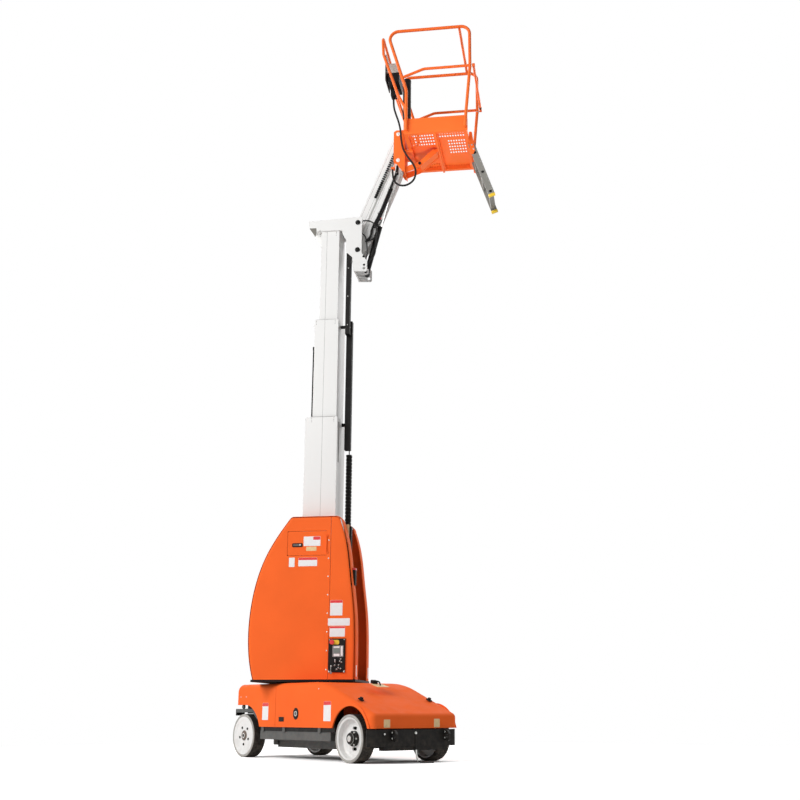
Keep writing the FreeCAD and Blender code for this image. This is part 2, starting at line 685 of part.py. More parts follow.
chain = fused([link_chain(222, 34, 2110, 2800), box(219, 225, 22, 46, 2790, stage_1_top - 20),
               box(front_1, 225, 22, 46, stage_1_top - 50, stage_1_top - 20)])
feature("lower_chain", chain, UPPER)
feature("base_trunk", fused([channel(TRUNK_REAR, 248, 66, 124, 1180, 2110), box(STAGES[0][1], TRUNK_REAR + 2, 76, 114, 1300, 1320),
                             box(STAGES[0][1], TRUNK_REAR + 2, 76, 114, 2000, 2020)]), UPPER)
leaf = box(-125, -112, -12, 12, stage_1_top - 300, stage_1_top + 770)
feature("leaf_chain", fused([leaf, box(-118, STAGES[2][0], -12, 12, stage_1_top + 740, stage_1_top + 770)]), UPPER)


# Mast head
HOSE_DIA, CABLE_DIA = 14, 20
HOSE = [(290, -100, 4700), (350, -100, 4700), (405, -102, 4730), (448, -105, 4795), (472, -109, 4875), (484, -113, 4960),
        (487, -116, 5040), (487, -118, 5111), (458, -119, 5161), (408, -119, 5190), (350, -119, 5190)]
HEAD_HALF = 143
ARM_END = 46
low_pin = v.pin_high - v.pin_space


def mast_head():
    pieces = []
    side = [(-208, 5205), (335, 5224, 12), (345, 5205), (345, 4830, 20), (402, 4740, 20), (402, 4630, 14), (262, 4638, 10),
            (252, 4790, 20), (186, 4850, 20), (184, 4980, 20), (148, 5050, 20), (144, 5086), (-76, 5104), (-118, 5087), (-130, 5024, 10),
            (-195, 5130)]
    for y0, y1 in ((-HEAD_HALF, -HEAD_HALF + 12), (HEAD_HALF - 12, HEAD_HALF)):
        pieces.append(plate(side, y0, y1))
    pieces.append(box(-200, 236, -HEAD_HALF, HEAD_HALF, 5190, 5204))
    pieces.append(box(-76, 116, -HEAD_HALF, HEAD_HALF, v.head_low, v.head_low + 14))
    pieces.append(box(-64, 106, -110, 110, v.head_low, 5200))
    pieces.append(box(266, 278, 1 - HEAD_HALF, HEAD_HALF - 1, 4644, 4760))
    foot = [(270, 4650), (v.foot_x, 4634, 20), (402, 4650, 20), (402, 4700, 24), (v.foot_x - 20, 4712, 20), (270, 4740)]
    for y0, y1 in ((-48, -38), (38, 48)):
        pieces.append(plate(foot, y0, y1))
    pieces.append(rod((276, HOSE[0][1], HOSE[0][2]), HOSE[0], 24))
    end = HOSE[-1]
    pieces.append(box(end[0] - 14, end[0], 1 - HEAD_HALF, end[1] + 13, end[2] - 14, end[2] + 14))
    shape = fused(pieces)
    for z in (v.pin_high, low_pin):
        shape = shape.cut(rod((v.pin_x, -200, z), (v.pin_x, 200, z), v.pin_dia + 0.2))
    return shape.cut(rod((v.foot_x, -200, v.foot_high), (v.foot_x, 200, v.foot_high), 30.2))


feature("mast_head", mast_head(), UPPER)


# Jib: two arms on parallel pins, each in its own frame with the pin at zero and the arm along X
def jib_frame(z):
    return UPPER.multiply(at(v.pin_x, 0, z, Y_AXIS, -v.jib_angle))


BRACKET_IN, BRACKET_OUT = 92, 102
LOWER_WALL = 8
LOWER_IN = v.lower_wide / 2 - LOWER_WALL
long = v.jib_long


def upper_arm():
    deep, half = v.upper_deep / 2 - 4, v.upper_wide / 2
    beam = plate([(-ARM_END + 2, -deep, ARM_END - 4), (long + ARM_END - 2, -deep, ARM_END - 4),
                  (long + ARM_END - 2, deep, ARM_END - 4), (-ARM_END + 2, deep, ARM_END - 4)], -half, half)
    pieces = [beam, rod((0, -HEAD_HALF - 4, 0), (0, HEAD_HALF + 4, 0), v.pin_dia),
              rod((long, -BRACKET_OUT - 6, 0), (long, BRACKET_OUT + 6, 0), v.pin_dia)]
    pieces.append(rod((0, -HEAD_HALF + 13, 0), (0, HEAD_HALF - 13, 0), 62))
    pieces.append(rod((long, -BRACKET_IN + 1, 0), (long, BRACKET_IN - 1, 0), 62))
    return fused(pieces)


def lower_arm():
    half, wall = v.lower_wide / 2, LOWER_WALL
    top = 36
    outline = [(-ARM_END + 2, -42, 40), (0, -44), (130, -70, 60), (long - 130, -70, 60), (long, -44),
               (long + ARM_END - 2, -42, 40), (long + ARM_END - 2, top, 36), (-ARM_END + 2, top, 36)]
    beam = plate(outline, -half, half)
    beam = beam.cut(box(60, long - 60, -half + wall, half - wall, -99, top - wall))
    beam = beam.cut(box(-99, 61, -half + wall, half - wall, -99, 99).common(
        plate([(-99, -99), (61, -99), (61, top - wall), (-99, top - wall)], -half, half).cut(rod((0, -99, 0), (0, 99, 0), 62))))
    pieces = [beam, rod((0, -HEAD_HALF - 4, 0), (0, HEAD_HALF + 4, 0), v.pin_dia),
              rod((long, -BRACKET_OUT - 6, 0), (long, BRACKET_OUT + 6, 0), v.pin_dia)]
    pieces.append(rod((0, -HEAD_HALF + 13, 0), (0, HEAD_HALF - 13, 0), 62))
    pieces.append(rod((long, -BRACKET_IN + 1, 0), (long, BRACKET_IN - 1, 0), 62))
    return fused(pieces)


feature("jib_upper_arm", upper_arm(), jib_frame(v.pin_high))
feature("jib_lower_arm", lower_arm(), jib_frame(low_pin))
comb = [box(330, 960, -86, -80, -50, -32)]
for i in range(26):
    comb.append(box(334 + 24 * i, 346 + 24 * i, -86, -72, -54, -28))
for x in (360, 900):
    comb.append(box(x, x + 30, -82, -v.upper_wide / 2, -40, -30))
feature("jib_chain", fused(comb), jib_frame(v.pin_high))

# Jib cylinder, from the head's foot to its eye under the lower arm
EYE_UNDER = 10
eye = jib_frame(low_pin).multVec(Vector(v.eye_along, 0, -EYE_UNDER))
foot = UPPER.multVec(Vector(v.foot_x, 0, v.foot_high))
flat = UPPER.inverse().multVec(eye) - Vector(v.foot_x, 0, v.foot_high)
cylinder_angle = math.degrees(math.atan2(flat.z, flat.x))
cylinder_long = flat.Length
CYLINDER = UPPER.multiply(at(v.foot_x, 0, v.foot_high, Y_AXIS, -cylinder_angle))
barrel = fused([rod((20, 0, 0), (520, 0, 0), 56), rod((0, -36, 0), (0, 36, 0), 50), rod((0, -48, 0), (0, 48, 0), 30)])
feature("jib_barrel", barrel.cut(rod((50, 0, 0), (521, 0, 0), 36.2)), CYLINDER)
ram = fused([rod((430, 0, 0), (cylinder_long - 15, 0, 0), 36), rod((cylinder_long, -30, 0), (cylinder_long, 30, 0), 50),
             rod((cylinder_long, -LOWER_IN + v.pad_clear, 0), (cylinder_long, LOWER_IN - v.pad_clear, 0), 28)])
feature("jib_ram", ram, CYLINDER)


# Platform bracket: side plates on the jib pins, a back plate and a knee under the floor
bracket_pins = [jib_frame(z).multVec(Vector(long, 0, 0)) for z in (v.pin_high, low_pin)]
bracket_pins = [UPPER.inverse().multVec(p) for p in bracket_pins]


KNEE_PIVOT, KNEE_END = (921, 5813), 1110
CLAMP = (650, -130, 5735)


def platform_bracket():
    upper, lower = bracket_pins
    back = upper.x + 62
    side = [(upper.x - 46, upper.z + 30, 20), (upper.x - 20, upper.z + 46, 20), (back, upper.z + 46), (back + 8, lower.z - 128),
            (back - 18, lower.z - 120, 10), (lower.x - 10, lower.z - 42, 30), (lower.x - 46, lower.z - 20, 20)]
    pieces = [plate(side, y0, y1) for y0, y1 in ((-BRACKET_OUT, -BRACKET_IN), (BRACKET_IN, BRACKET_OUT))]
    pieces.append(box(back, back + 8, -BRACKET_OUT, BRACKET_OUT, lower.z - 136, upper.z + 46))
    for y in (-66, 60):
        low, high = v.toe_low - 30, v.toe_low - 6
        knee = [(back + 4, lower.z - 128), (KNEE_PIVOT[0], KNEE_PIVOT[1] - 34, 20), (KNEE_END, low, 20), (KNEE_END, high),
                (KNEE_END - 60, high), (KNEE_PIVOT[0] - 4, KNEE_PIVOT[1] + 22, 30), (back + 4, lower.z - 60)]
        pieces.append(plate(knee, y - 6, y + 6))
    web = [(KNEE_PIVOT[0] + 6, KNEE_PIVOT[1] - 22), (KNEE_END - 10, low), (KNEE_END - 30, low), (KNEE_PIVOT[0] + 2, KNEE_PIVOT[1] - 14)]
    pieces.append(plate(web, -62, 56))
    pivot = (KNEE_PIVOT[0], KNEE_PIVOT[1])
    pieces.append(rod((pivot[0], -80, pivot[1]), (pivot[0], 74, pivot[1]), 22))
    pieces.append(box(CLAMP[0] + 14, CLAMP[0] + 22, -BRACKET_OUT - 6, -BRACKET_OUT, CLAMP[2], lower.z + 12))
    pieces.append(box(CLAMP[0] - 14, CLAMP[0] + 16, CLAMP[1] - 16, -BRACKET_OUT - 2, CLAMP[2], CLAMP[2] + 22))
    pieces.append(box(back + 2, v.floor_near + 40, -BRACKET_OUT, BRACKET_OUT, v.toe_low - 34, v.toe_low - 6))
    shape = fused(pieces)
    for pin in (upper, lower):
        shape = shape.cut(rod((pin.x, -200, pin.z), (pin.x, 200, pin.z), v.pin_dia + 0.2))
    return shape


feature("platform_bracket", platform_bracket(), UPPER)


# Platform floor and its frame
def floor_frame():
    low, high = v.toe_low - 6, v.floor_high - v.floor_thick
    outer = box(v.floor_near, v.floor_far, -v.floor_half, v.floor_half, low, high)
    inner = box(v.floor_near + 34, v.floor_far - 34, -v.floor_half + 34, v.floor_half - 34, low - 9, high + 9)
    pieces = [outer.cut(inner), box(1100, 1140, -v.floor_half, v.floor_half, low, high)]
    return fused(pieces)


feature("floor_frame", floor_frame(), UPPER)
sheet_metal = box(v.floor_near, v.floor_far, -v.floor_half, v.floor_half, v.floor_high - v.floor_thick, v.floor_high)
feature("platform_floor", sheet_metal, UPPER)
board = []
for side in (-1, 1):
    low, high = sorted((side * v.floor_half, side * (v.floor_half + 5)))
    board.append(box(v.floor_near - 8, v.floor_far + 6, low, high, v.toe_low, v.toe_high))
board.append(box(v.floor_near - 8, v.floor_near - 3, -v.floor_half, v.floor_half, v.toe_low, v.toe_high))
feature("toe_boards", Part.Compound(board), UPPER)


# Guard rails
rail_y = v.floor_half + 5 + v.tube_dia / 2
tail_post, end_post = v.floor_near + 20, v.floor_far + 38


def side_rail(side):
    y = side * rail_y
    hoop = bent_bar([(tail_post, y, v.toe_low + 30), (tail_post, y, 6450), (632, y, RAIL_TOP), (end_post, y, RAIL_TOP),
                     (end_post, y, RAIL_MID - 10), (v.floor_far - 20, y, v.toe_low + 30)], v.tube_dia, 90)
    middle = bent_bar([(tail_post - 60, y, 6590), (1010, y, RAIL_MID), (end_post, y, RAIL_MID)], v.tube_dia - 4, 120)
    return [hoop, middle]


BAR_X, BAR_PIN, BAR_DIA = end_post + 36, 16, 25
hinge_pin = rod((end_post, -rail_y, RAIL_MID), (BAR_X + 15, -rail_y, RAIL_MID), BAR_PIN)
catch_top = RAIL_MID - BAR_DIA / 2 - v.pad_clear
catch = box(end_post, BAR_X + 14, rail_y - 10, rail_y + 10, catch_top - 8, catch_top)
feature("near_rail", fused(side_rail(-1) + [hinge_pin]), UPPER)
feature("far_rail", fused(side_rail(1) + [catch]), UPPER)
cross = rod((1372, -rail_y + 16, RAIL_TOP), (1372, rail_y - 16, RAIL_TOP), v.tube_dia - 4)
hoop_y = rail_y - 30
HOOP_SIDE = [(tail_post, 6150), (tail_post - 22, 6280), (740, 6431), (590, 6900), (580, 7110)]
hoop_points = [(x, -hoop_y, z) for x, z in HOOP_SIDE] + [(x, hoop_y, z) for x, z in reversed(HOOP_SIDE)]
console_hoop = bent_bar(hoop_points, v.tube_dia - 4, 70)
feet = [rod((tail_post, side * (rail_y - v.tube_dia / 2), 6180), (tail_post, side * (hoop_y - 6), 6180), 20) for side in (-1, 1)]
SHELF, SHELF_DIA = (703, 6546), 22
shelf = rod((SHELF[0], -hoop_y + 3, SHELF[1]), (SHELF[0], hoop_y - 3, SHELF[1]), SHELF_DIA)
feature("end_rails", Part.Compound([cross, fused([console_hoop, shelf] + feet)]), UPPER)
entry_bar = fused([rod((BAR_X, -rail_y, RAIL_MID), (BAR_X, rail_y, RAIL_MID), BAR_DIA),
                   rod((BAR_X - 13, -rail_y, RAIL_MID), (BAR_X + 13, -rail_y, RAIL_MID), 36)])
entry_bar = entry_bar.cut(rod((BAR_X - 20, -rail_y, RAIL_MID), (BAR_X + 20, -rail_y, RAIL_MID), BAR_PIN + 2 * v.bore_clear))
feature("entry_bar", entry_bar, UPPER)

# Console and document tube
console_foot = SHELF[1] + SHELF_DIA / 2
console = fused([box(605, 735, -300, -40, 6745, 6850), box(622, 735, -300, -40, 6640, 6745),
                 box(630, 712, -175, -95, console_foot, 6640)])
GLAND = (655, -135, console_foot - 20)
console = fused([console, rod(GLAND, (GLAND[0], GLAND[1], console_foot + 2), 32)])
feature("console", console, UPPER)
TUBE_DIA = 86
tube_x = SHELF[0] + SHELF_DIA / 2 + TUBE_DIA / 2
feature("document_tube", rod((tube_x, 110, 6440), (tube_x, 110, 6905), TUBE_DIA), UPPER)


# Cables: a hose that hangs in front of the mast head, and the control cable's loop below the console
CABLE = [GLAND, (655, -135, 6450), (680, -135, 6360), (712, -135, 6265), (732, -135, 6160), (738, -135, 6050), (760, -136, 5945),
         (812, -138, 5850), (868, -140, 5772), (896, -141, 5688), (872, -140, 5588), (784, -137, 5536), (690, -133, 5562),
         (650, -130, 5650), CLAMP]
LARGEST_BEND = 9999
for label, route, dia in (("head_hose", HOSE, HOSE_DIA), ("jib_cable", CABLE, CABLE_DIA)):
    feature(label, bent_bar(route, dia, LARGEST_BEND), UPPER)


# Ladder
def ladder():
    top, foot_end = Vector(1462, 0, 5930), Vector(1664, 0, 5345)
    slope = math.degrees(math.atan2(foot_end.x - top.x, top.z - foot_end.z))
    length = (foot_end - top).Length
    pieces = []
    for side in (-1, 1):
        pieces.append(box(-32, 32, side * v.ladder_half - 13, side * v.ladder_half + 13, -length, 0))
    for i in range(3):
        z = -110 - i * v.rung_step
        pieces.append(box(-24, 24, -v.ladder_half, v.ladder_half, z - 12, z + 12))
    shape = fused(pieces)
    return shape, at(top.x, 0, top.z, Y_AXIS, -slope)


ladder_shape, ladder_place = ladder()
feature("ladder", ladder_shape, UPPER.multiply(ladder_place))
gussets = []
for side in (-1, 1):
    low, high = sorted((side * (v.ladder_half + 13), side * (v.ladder_half + 21)))
    gussets.append(plate([(v.floor_far, 5978), (v.floor_far, 6060, 10), (1470, 6060, 12), (1500, 5850, 20), (1480, 5800, 20),
                          (1452, 5820, 10), (v.floor_far, 5950)], low, high))
feature("ladder_brackets", Part.Compound(gussets), UPPER)

doc.recompute()
bad = [item.Label for item in doc.Objects if {"Invalid", "Error"} & set(item.State)]
bad += [part.Label for part in parts if part.Shape.isNull() or not part.Shape.isValid()]
if bad:
    raise SystemExit("these came out wrong: %s" % ", ".join(bad))
os.makedirs("parts", exist_ok=True)
for part in parts:
    part.Shape.exportStep("parts/%s.step" % part.Label)
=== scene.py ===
import math

import bmesh
import bpy
from bpy.props import FloatProperty, FloatVectorProperty, IntProperty, PointerProperty
from mathutils import Matrix, Vector


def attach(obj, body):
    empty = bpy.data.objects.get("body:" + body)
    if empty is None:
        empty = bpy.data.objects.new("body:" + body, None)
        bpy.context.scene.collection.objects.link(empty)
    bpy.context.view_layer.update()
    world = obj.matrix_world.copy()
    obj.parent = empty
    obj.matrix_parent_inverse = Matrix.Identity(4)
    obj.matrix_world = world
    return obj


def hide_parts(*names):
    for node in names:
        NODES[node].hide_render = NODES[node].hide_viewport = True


bl_info = {
    "name": "Mast Lift Dressing",
    "version": (1, 0, 0),
    "blender": (4, 5, 0),
    "location": "3D View > Sidebar > Mast Lift",
    "description": "Finishes, tyres, plates, chains, controls and the studio of a mast boom lift",
    "category": "Object",
}

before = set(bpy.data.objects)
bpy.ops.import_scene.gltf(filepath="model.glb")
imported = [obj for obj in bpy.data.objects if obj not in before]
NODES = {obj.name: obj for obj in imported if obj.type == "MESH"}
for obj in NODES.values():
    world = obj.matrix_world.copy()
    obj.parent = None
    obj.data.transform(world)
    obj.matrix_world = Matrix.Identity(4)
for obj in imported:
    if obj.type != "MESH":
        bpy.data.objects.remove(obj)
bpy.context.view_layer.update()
MM = 0.001

# The places that the lift is drawn in, in millimetres: the chassis, the turned upper works, and the
# two arms of the jib, which run along their own X from the head's pins
SLEW_AXIS = (-0.356, -0.344, 0)
SLEW_DEGREES, JIB_DEGREES = 42.6, 68
PINS_X, UPPER_PIN_Z, LOWER_PIN_Z, ARM_LENGTH = 303, 5163, 4866, 1061
CHASSIS = Matrix.Translation(SLEW_AXIS) @ Matrix.Scale(MM, 4)
SLEW = Matrix.Rotation(math.radians(SLEW_DEGREES), 4, "Z")
UPPER = Matrix.Translation(SLEW_AXIS) @ SLEW @ Matrix.Scale(MM, 4)
JIB_TURN = Matrix.Rotation(math.radians(-JIB_DEGREES), 4, "Y")
UPPER_ARM = UPPER @ Matrix.Translation((PINS_X, 0, UPPER_PIN_Z)) @ JIB_TURN
LOWER_ARM = UPPER @ Matrix.Translation((PINS_X, 0, LOWER_PIN_Z)) @ JIB_TURN

# The wheels, from the axle out, and the sides that the trim lies on
TYRE_RADIUS, TYRE_WIDTH, RIM_EDGE, WHEEL_OUT = 190.5, 127, 167, 459
WHEELS = [
    # name of the wheel, axle along the chassis, side
    ("tail_near", -559, -1),
    ("tail_far", -559, 1),
    ("nose_near", 1096, -1),
    ("nose_far", 1096, 1),
]
COVER_SIDE, TOWER_SIDE, HEAD_SIDE = 450, 342, 143
FLOOR_REAR, FLOOR_FRONT, FLOOR_SIDE = 812, 1440, 400


class LiftColours(bpy.types.PropertyGroup):
    """Colours of the lift's finishes"""
    orange: FloatVectorProperty(name="Orange", description="Moulded covers and painted platform",
                                subtype="COLOR", size=3, min=0, max=1, default=(0.96, 0.15, 0.029))
    white: FloatVectorProperty(name="Mast white", description="Enamel on the mast, jib and wheels",
                               subtype="COLOR", size=3, min=0, max=1, default=(0.84, 0.835, 0.82))
    grey: FloatVectorProperty(name="Frame grey", description="Paint on the chassis frame", subtype="COLOR",
                              size=3, min=0, max=1, default=(0.15, 0.155, 0.15))
    black: FloatVectorProperty(name="Black", description="Trunking, bumper and controls", subtype="COLOR",
                               size=3, min=0, max=1, default=(0.012, 0.0112, 0.0108))
    rubber: FloatVectorProperty(name="Tyre rubber", description="Tread of the tyres", subtype="COLOR", size=3,
                                min=0, max=1, default=(0.026, 0.022, 0.019))


class LiftSizes(bpy.types.PropertyGroup):
    """Sizes of the repeated details"""
    tread_blocks: IntProperty(name="Tread blocks", description="Blocks around a tyre in one row", default=44,
                              min=12, max=90)
    tread_depth: FloatProperty(name="Tread depth", description="Height of a tread block", default=0.0035,
                               min=0.001, max=0.008, subtype="DISTANCE", unit="LENGTH")
    hole_pitch: FloatProperty(name="Hole pitch",
                              description="Spacing of the platform floor's holes along the platform",
                              default=0.0263, min=0.02, max=0.06, subtype="DISTANCE", unit="LENGTH")
    hole_rows: FloatProperty(name="Hole rows", description="Spacing of the platform floor's rows of holes",
                             default=0.058, min=0.02, max=0.06, subtype="DISTANCE", unit="LENGTH")
    hole_size: FloatProperty(name="Hole width", description="Width of the platform floor's holes",
                             default=0.0145, min=0.005, max=0.02, subtype="DISTANCE", unit="LENGTH")
    hole_length: FloatProperty(name="Hole length", description="Length of the holes across the platform",
                               default=0.034, min=0.01, max=0.04, subtype="DISTANCE", unit="LENGTH")
    chain_pitch: FloatProperty(name="Chain pitch", description="Pin spacing of the leaf chain",
                               default=0.0254, min=0.01, max=0.05, subtype="DISTANCE", unit="LENGTH")
    lamp_power: FloatProperty(name="Lamp power", description="Power that each lamp has a share of",
                              default=900, min=0, unit="POWER")


# Finishes
def blend_colours(tree, factor, first, second):
    mix = tree.nodes.new("ShaderNodeMix")
    mix.data_type = "RGBA"
    tree.links.new(factor, mix.inputs["Factor"])
    for socket, value in ((mix.inputs[6], first), (mix.inputs[7], second)):
        if isinstance(value, bpy.types.NodeSocket):
            tree.links.new(value, socket)
        else:
            socket.default_value = (*value, 1)
    return mix.outputs[2]


def cloud(tree, place, scale, detail, stretch=(1, 1, 1)):
    mapping = tree.nodes.new("ShaderNodeMapping")
    mapping.inputs["Scale"].default_value = stretch
    tree.links.new(place, mapping.inputs["Vector"])
    noise = tree.nodes.new("ShaderNodeTexNoise")
    noise.inputs["Scale"].default_value = scale
    noise.inputs["Detail"].default_value = detail
    tree.links.new(mapping.outputs["Vector"], noise.inputs["Vector"])
    return noise.outputs["Fac"]


def ranged(tree, value, low, high, to_low, to_high):
    span = tree.nodes.new("ShaderNodeMapRange")
    for name, number in (("From Min", low), ("From Max", high), ("To Min", to_low), ("To Max", to_high)):
        span.inputs[name].default_value = number
    tree.links.new(value, span.inputs["Value"])
    return span.outputs["Result"]


def finish(name, colour, rough, metal=0.0, coat=0.0, mottle=0.06, mottle_scale=4.0, grain=0.03,
           grain_scale=350.0, soften=0.0, dust=0.0, stretch=(1, 1, 1), specular=0.5):
    """A material with clouds in its tone and gloss, a fine grain, softened edges and dust near the floor."""
    material = bpy.data.materials.new(name)
    material.use_nodes = True
    tree = material.node_tree
    shader = tree.nodes["Principled BSDF"]
    shader.inputs["Metallic"].default_value = metal
    shader.inputs["Coat Weight"].default_value = coat
    shader.inputs["Coat Roughness"].default_value = 0.12
    shader.inputs["Specular IOR Level"].default_value = specular
    place = tree.nodes.new("ShaderNodeTexCoord").outputs["Object"]
    clouds = ranged(tree, cloud(tree, place, mottle_scale, 4, stretch), 0.3, 0.7, 0, 1)
    dark = darker(colour, 1 - mottle)
    light = [min(1, c * (1 + mottle)) for c in colour]
    tone = blend_colours(tree, clouds, dark, light)
    if dust:
        split = tree.nodes.new("ShaderNodeSeparateXYZ")
        tree.links.new(place, split.inputs[0])
        low = ranged(tree, split.outputs["Z"], 0.0, 0.32, dust, 0)
        spots = ranged(tree, cloud(tree, place, 22, 6), 0.35, 0.7, 0, 1)
        both = tree.nodes.new("ShaderNodeMath")
        both.operation = "MULTIPLY"
        tree.links.new(low, both.inputs[0])
        tree.links.new(spots, both.inputs[1])
        tone = blend_colours(tree, both.outputs[0], tone, (0.32, 0.27, 0.21))
    tree.links.new(tone, shader.inputs["Base Color"])
    gloss = ranged(tree, cloud(tree, place, mottle_scale * 5, 5, stretch), 0.3, 0.7, rough * 0.85,
                   min(1, rough * 1.2))
    tree.links.new(gloss, shader.inputs["Roughness"])
    bump = tree.nodes.new("ShaderNodeBump")
    bump.inputs["Strength"].default_value = grain
    bump.inputs["Distance"].default_value = 0.002
    tree.links.new(cloud(tree, place, grain_scale, 2, stretch), bump.inputs["Height"])
    if soften:
        bevel = tree.nodes.new("ShaderNodeBevel")
        bevel.samples = 4
        bevel.inputs["Radius"].default_value = soften
        tree.links.new(bevel.outputs["Normal"], bump.inputs["Normal"])
    tree.links.new(bump.outputs["Normal"], shader.inputs["Normal"])
    return material


FINISHES = {}


def darker(colour, share):
    return [part * share for part in colour]


def make_finishes(colours):
    orange, white, grey, black = colours.orange, colours.white, colours.grey, colours.black
    table = {
        "orange_shell": dict(colour=orange, rough=0.5, mottle=0.05, mottle_scale=2.2, grain=0.05,
                             grain_scale=160, specular=0.04),
        "orange_steel": dict(colour=(orange[0], orange[1] * 1.12, orange[2]), rough=0.4, mottle=0.05,
                             grain=0.04, grain_scale=500, soften=0.0015, specular=0.15),
        "white_enamel": dict(colour=darker(white, 0.97), rough=0.4, specular=0.4, mottle=0.03,
                             mottle_scale=2.0, grain=0.04, grain_scale=280, soften=0.003,
                             stretch=(1, 1, 0.3)),
        "wheel_enamel": dict(colour=darker(white, 0.97), rough=0.45, mottle=0.05, mottle_scale=9, grain=0.08,
                             dust=0.3),
        "frame_grey": dict(colour=darker(grey, 0.6), rough=0.5, specular=0.25, mottle=0.12, mottle_scale=7,
                           grain=0.08, grain_scale=400, soften=0.003, dust=0.25),
        "black_steel": dict(colour=darker(black, 0.65), rough=0.48, specular=0.12, mottle=0.2, mottle_scale=9,
                            grain=0.1, grain_scale=420, soften=0.002, dust=0.15),
        "black_plastic": dict(colour=darker(black, 0.9), rough=0.52, specular=0.12, mottle=0.12, grain=0.12,
                              grain_scale=700, soften=0.0012),
        "iron": dict(colour=(0.05, 0.047, 0.044), rough=0.62, metal=0.3, mottle=0.25, mottle_scale=14,
                     grain=0.3, grain_scale=220, dust=0.25),
        "tread_rubber": dict(colour=colours.rubber, rough=0.82, mottle=0.3, mottle_scale=18, grain=0.4,
                             grain_scale=260, dust=0.35, specular=0.3),
        "sidewall": dict(colour=(0.42, 0.41, 0.385), rough=0.75, mottle=0.12, mottle_scale=14, grain=0.2,
                         grain_scale=300, dust=0.3, specular=0.3),
        "zinc": dict(colour=(0.52, 0.52, 0.5), rough=0.34, metal=0.9, mottle=0.1, mottle_scale=60, grain=0.08,
                     grain_scale=900),
        "chrome_rod": dict(colour=(0.75, 0.75, 0.74), rough=0.12, metal=1.0, mottle=0.04, mottle_scale=30,
                           grain=0.02, grain_scale=900),
        "brown_steel": dict(colour=(0.15, 0.12, 0.1), rough=0.5, metal=0.2, specular=0.2, mottle=0.3,
                            mottle_scale=40, grain=0.2, grain_scale=500),
        "aluminium": dict(colour=(0.21, 0.205, 0.185), rough=0.5, metal=0.3, mottle=0.12, mottle_scale=40,
                          grain=0.12, grain_scale=500, stretch=(6, 6, 0.4), soften=0.0015),
        "slide_plastic": dict(colour=(0.72, 0.7, 0.6), rough=0.5, mottle=0.06, grain=0.05),
        "console_grey": dict(colour=(0.5, 0.49, 0.45), rough=0.55, mottle=0.06, mottle_scale=12, grain=0.2,
                             grain_scale=600, soften=0.003),
        "plate_white": dict(colour=(0.83, 0.82, 0.82), rough=0.35, coat=0.3, mottle=0.03, mottle_scale=30,
                            grain=0.02),
        "plate_red": dict(colour=(0.72, 0.015, 0.02), rough=0.35, coat=0.3, mottle=0.06, mottle_scale=30,
                          grain=0.02),
        "plate_cream": dict(colour=(0.78, 0.55, 0.27), rough=0.4, coat=0.2, mottle=0.1, mottle_scale=40,
                            grain=0.03),
        "yellow": dict(colour=(0.82, 0.55, 0.03), rough=0.45, mottle=0.1, mottle_scale=40, grain=0.05),
        "display": dict(colour=(0.16, 0.19, 0.17), rough=0.2, coat=0.6, mottle=0.06, mottle_scale=50,
                        grain=0.01),
        # Painted shade: a dark grey for the plate that stands for the head's near gusset in shadow
        "shaded_web": dict(colour=(0.2, 0.19, 0.17), rough=0.6, mottle=0.1, mottle_scale=12, grain=0.04,
                           specular=0.2),
        "panel_grey": dict(colour=(0.2, 0.19, 0.19), rough=0.4, coat=0.2, mottle=0.08, mottle_scale=50,
                           grain=0.04),
        # Dark grey for seams, cables and a lever, and painted shade for the slot in the first stage's front
        "seam": dict(colour=(0.11, 0.1, 0.095), rough=0.7, mottle=0.2, mottle_scale=30, grain=0.05),
        "hose": dict(colour=(0.011, 0.0105, 0.0105), rough=0.48, specular=0.16, mottle=0.2, mottle_scale=60,
                     grain=0.2, grain_scale=500),
    }
    for name, values in table.items():
        FINISHES[name] = finish(name, **values)


# Forms: shapes gathered in millimetres in one place, each with one of the form's finishes
def corners(points, steps=6):
    """The outline through (u, v) or (u, v, radius) corners, with each radius as short chords."""
    line = []
    count = len(points)
    for i, point in enumerate(points):
        here = Vector(point[:2])
        radius = point[2] if len(point) > 2 else 0
        if not radius:
            line.append(here)
            continue
        back = (Vector(points[i - 1][:2]) - here).normalized()
        ahead = (Vector(points[(i + 1) % count][:2]) - here).normalized()
        half = back.angle(ahead) / 2
        middle = here + (back + ahead).normalized() * (radius / math.sin(half))
        first = here + back * (radius / math.tan(half)) - middle
        last = here + ahead * (radius / math.tan(half)) - middle
        turn = first.angle_signed(last)
        for step in range(steps + 1):
            line.append(middle + Matrix.Rotation(-turn * step / steps, 2) @ first)
    return line


def facing(direction):
    return Vector(direction).to_track_quat("Z", "Y").to_matrix().to_4x4()


def outward(side, inner, outer):
    """The lower and the higher of two depths on one side of the lift."""
    return sorted((side * inner, side * outer))


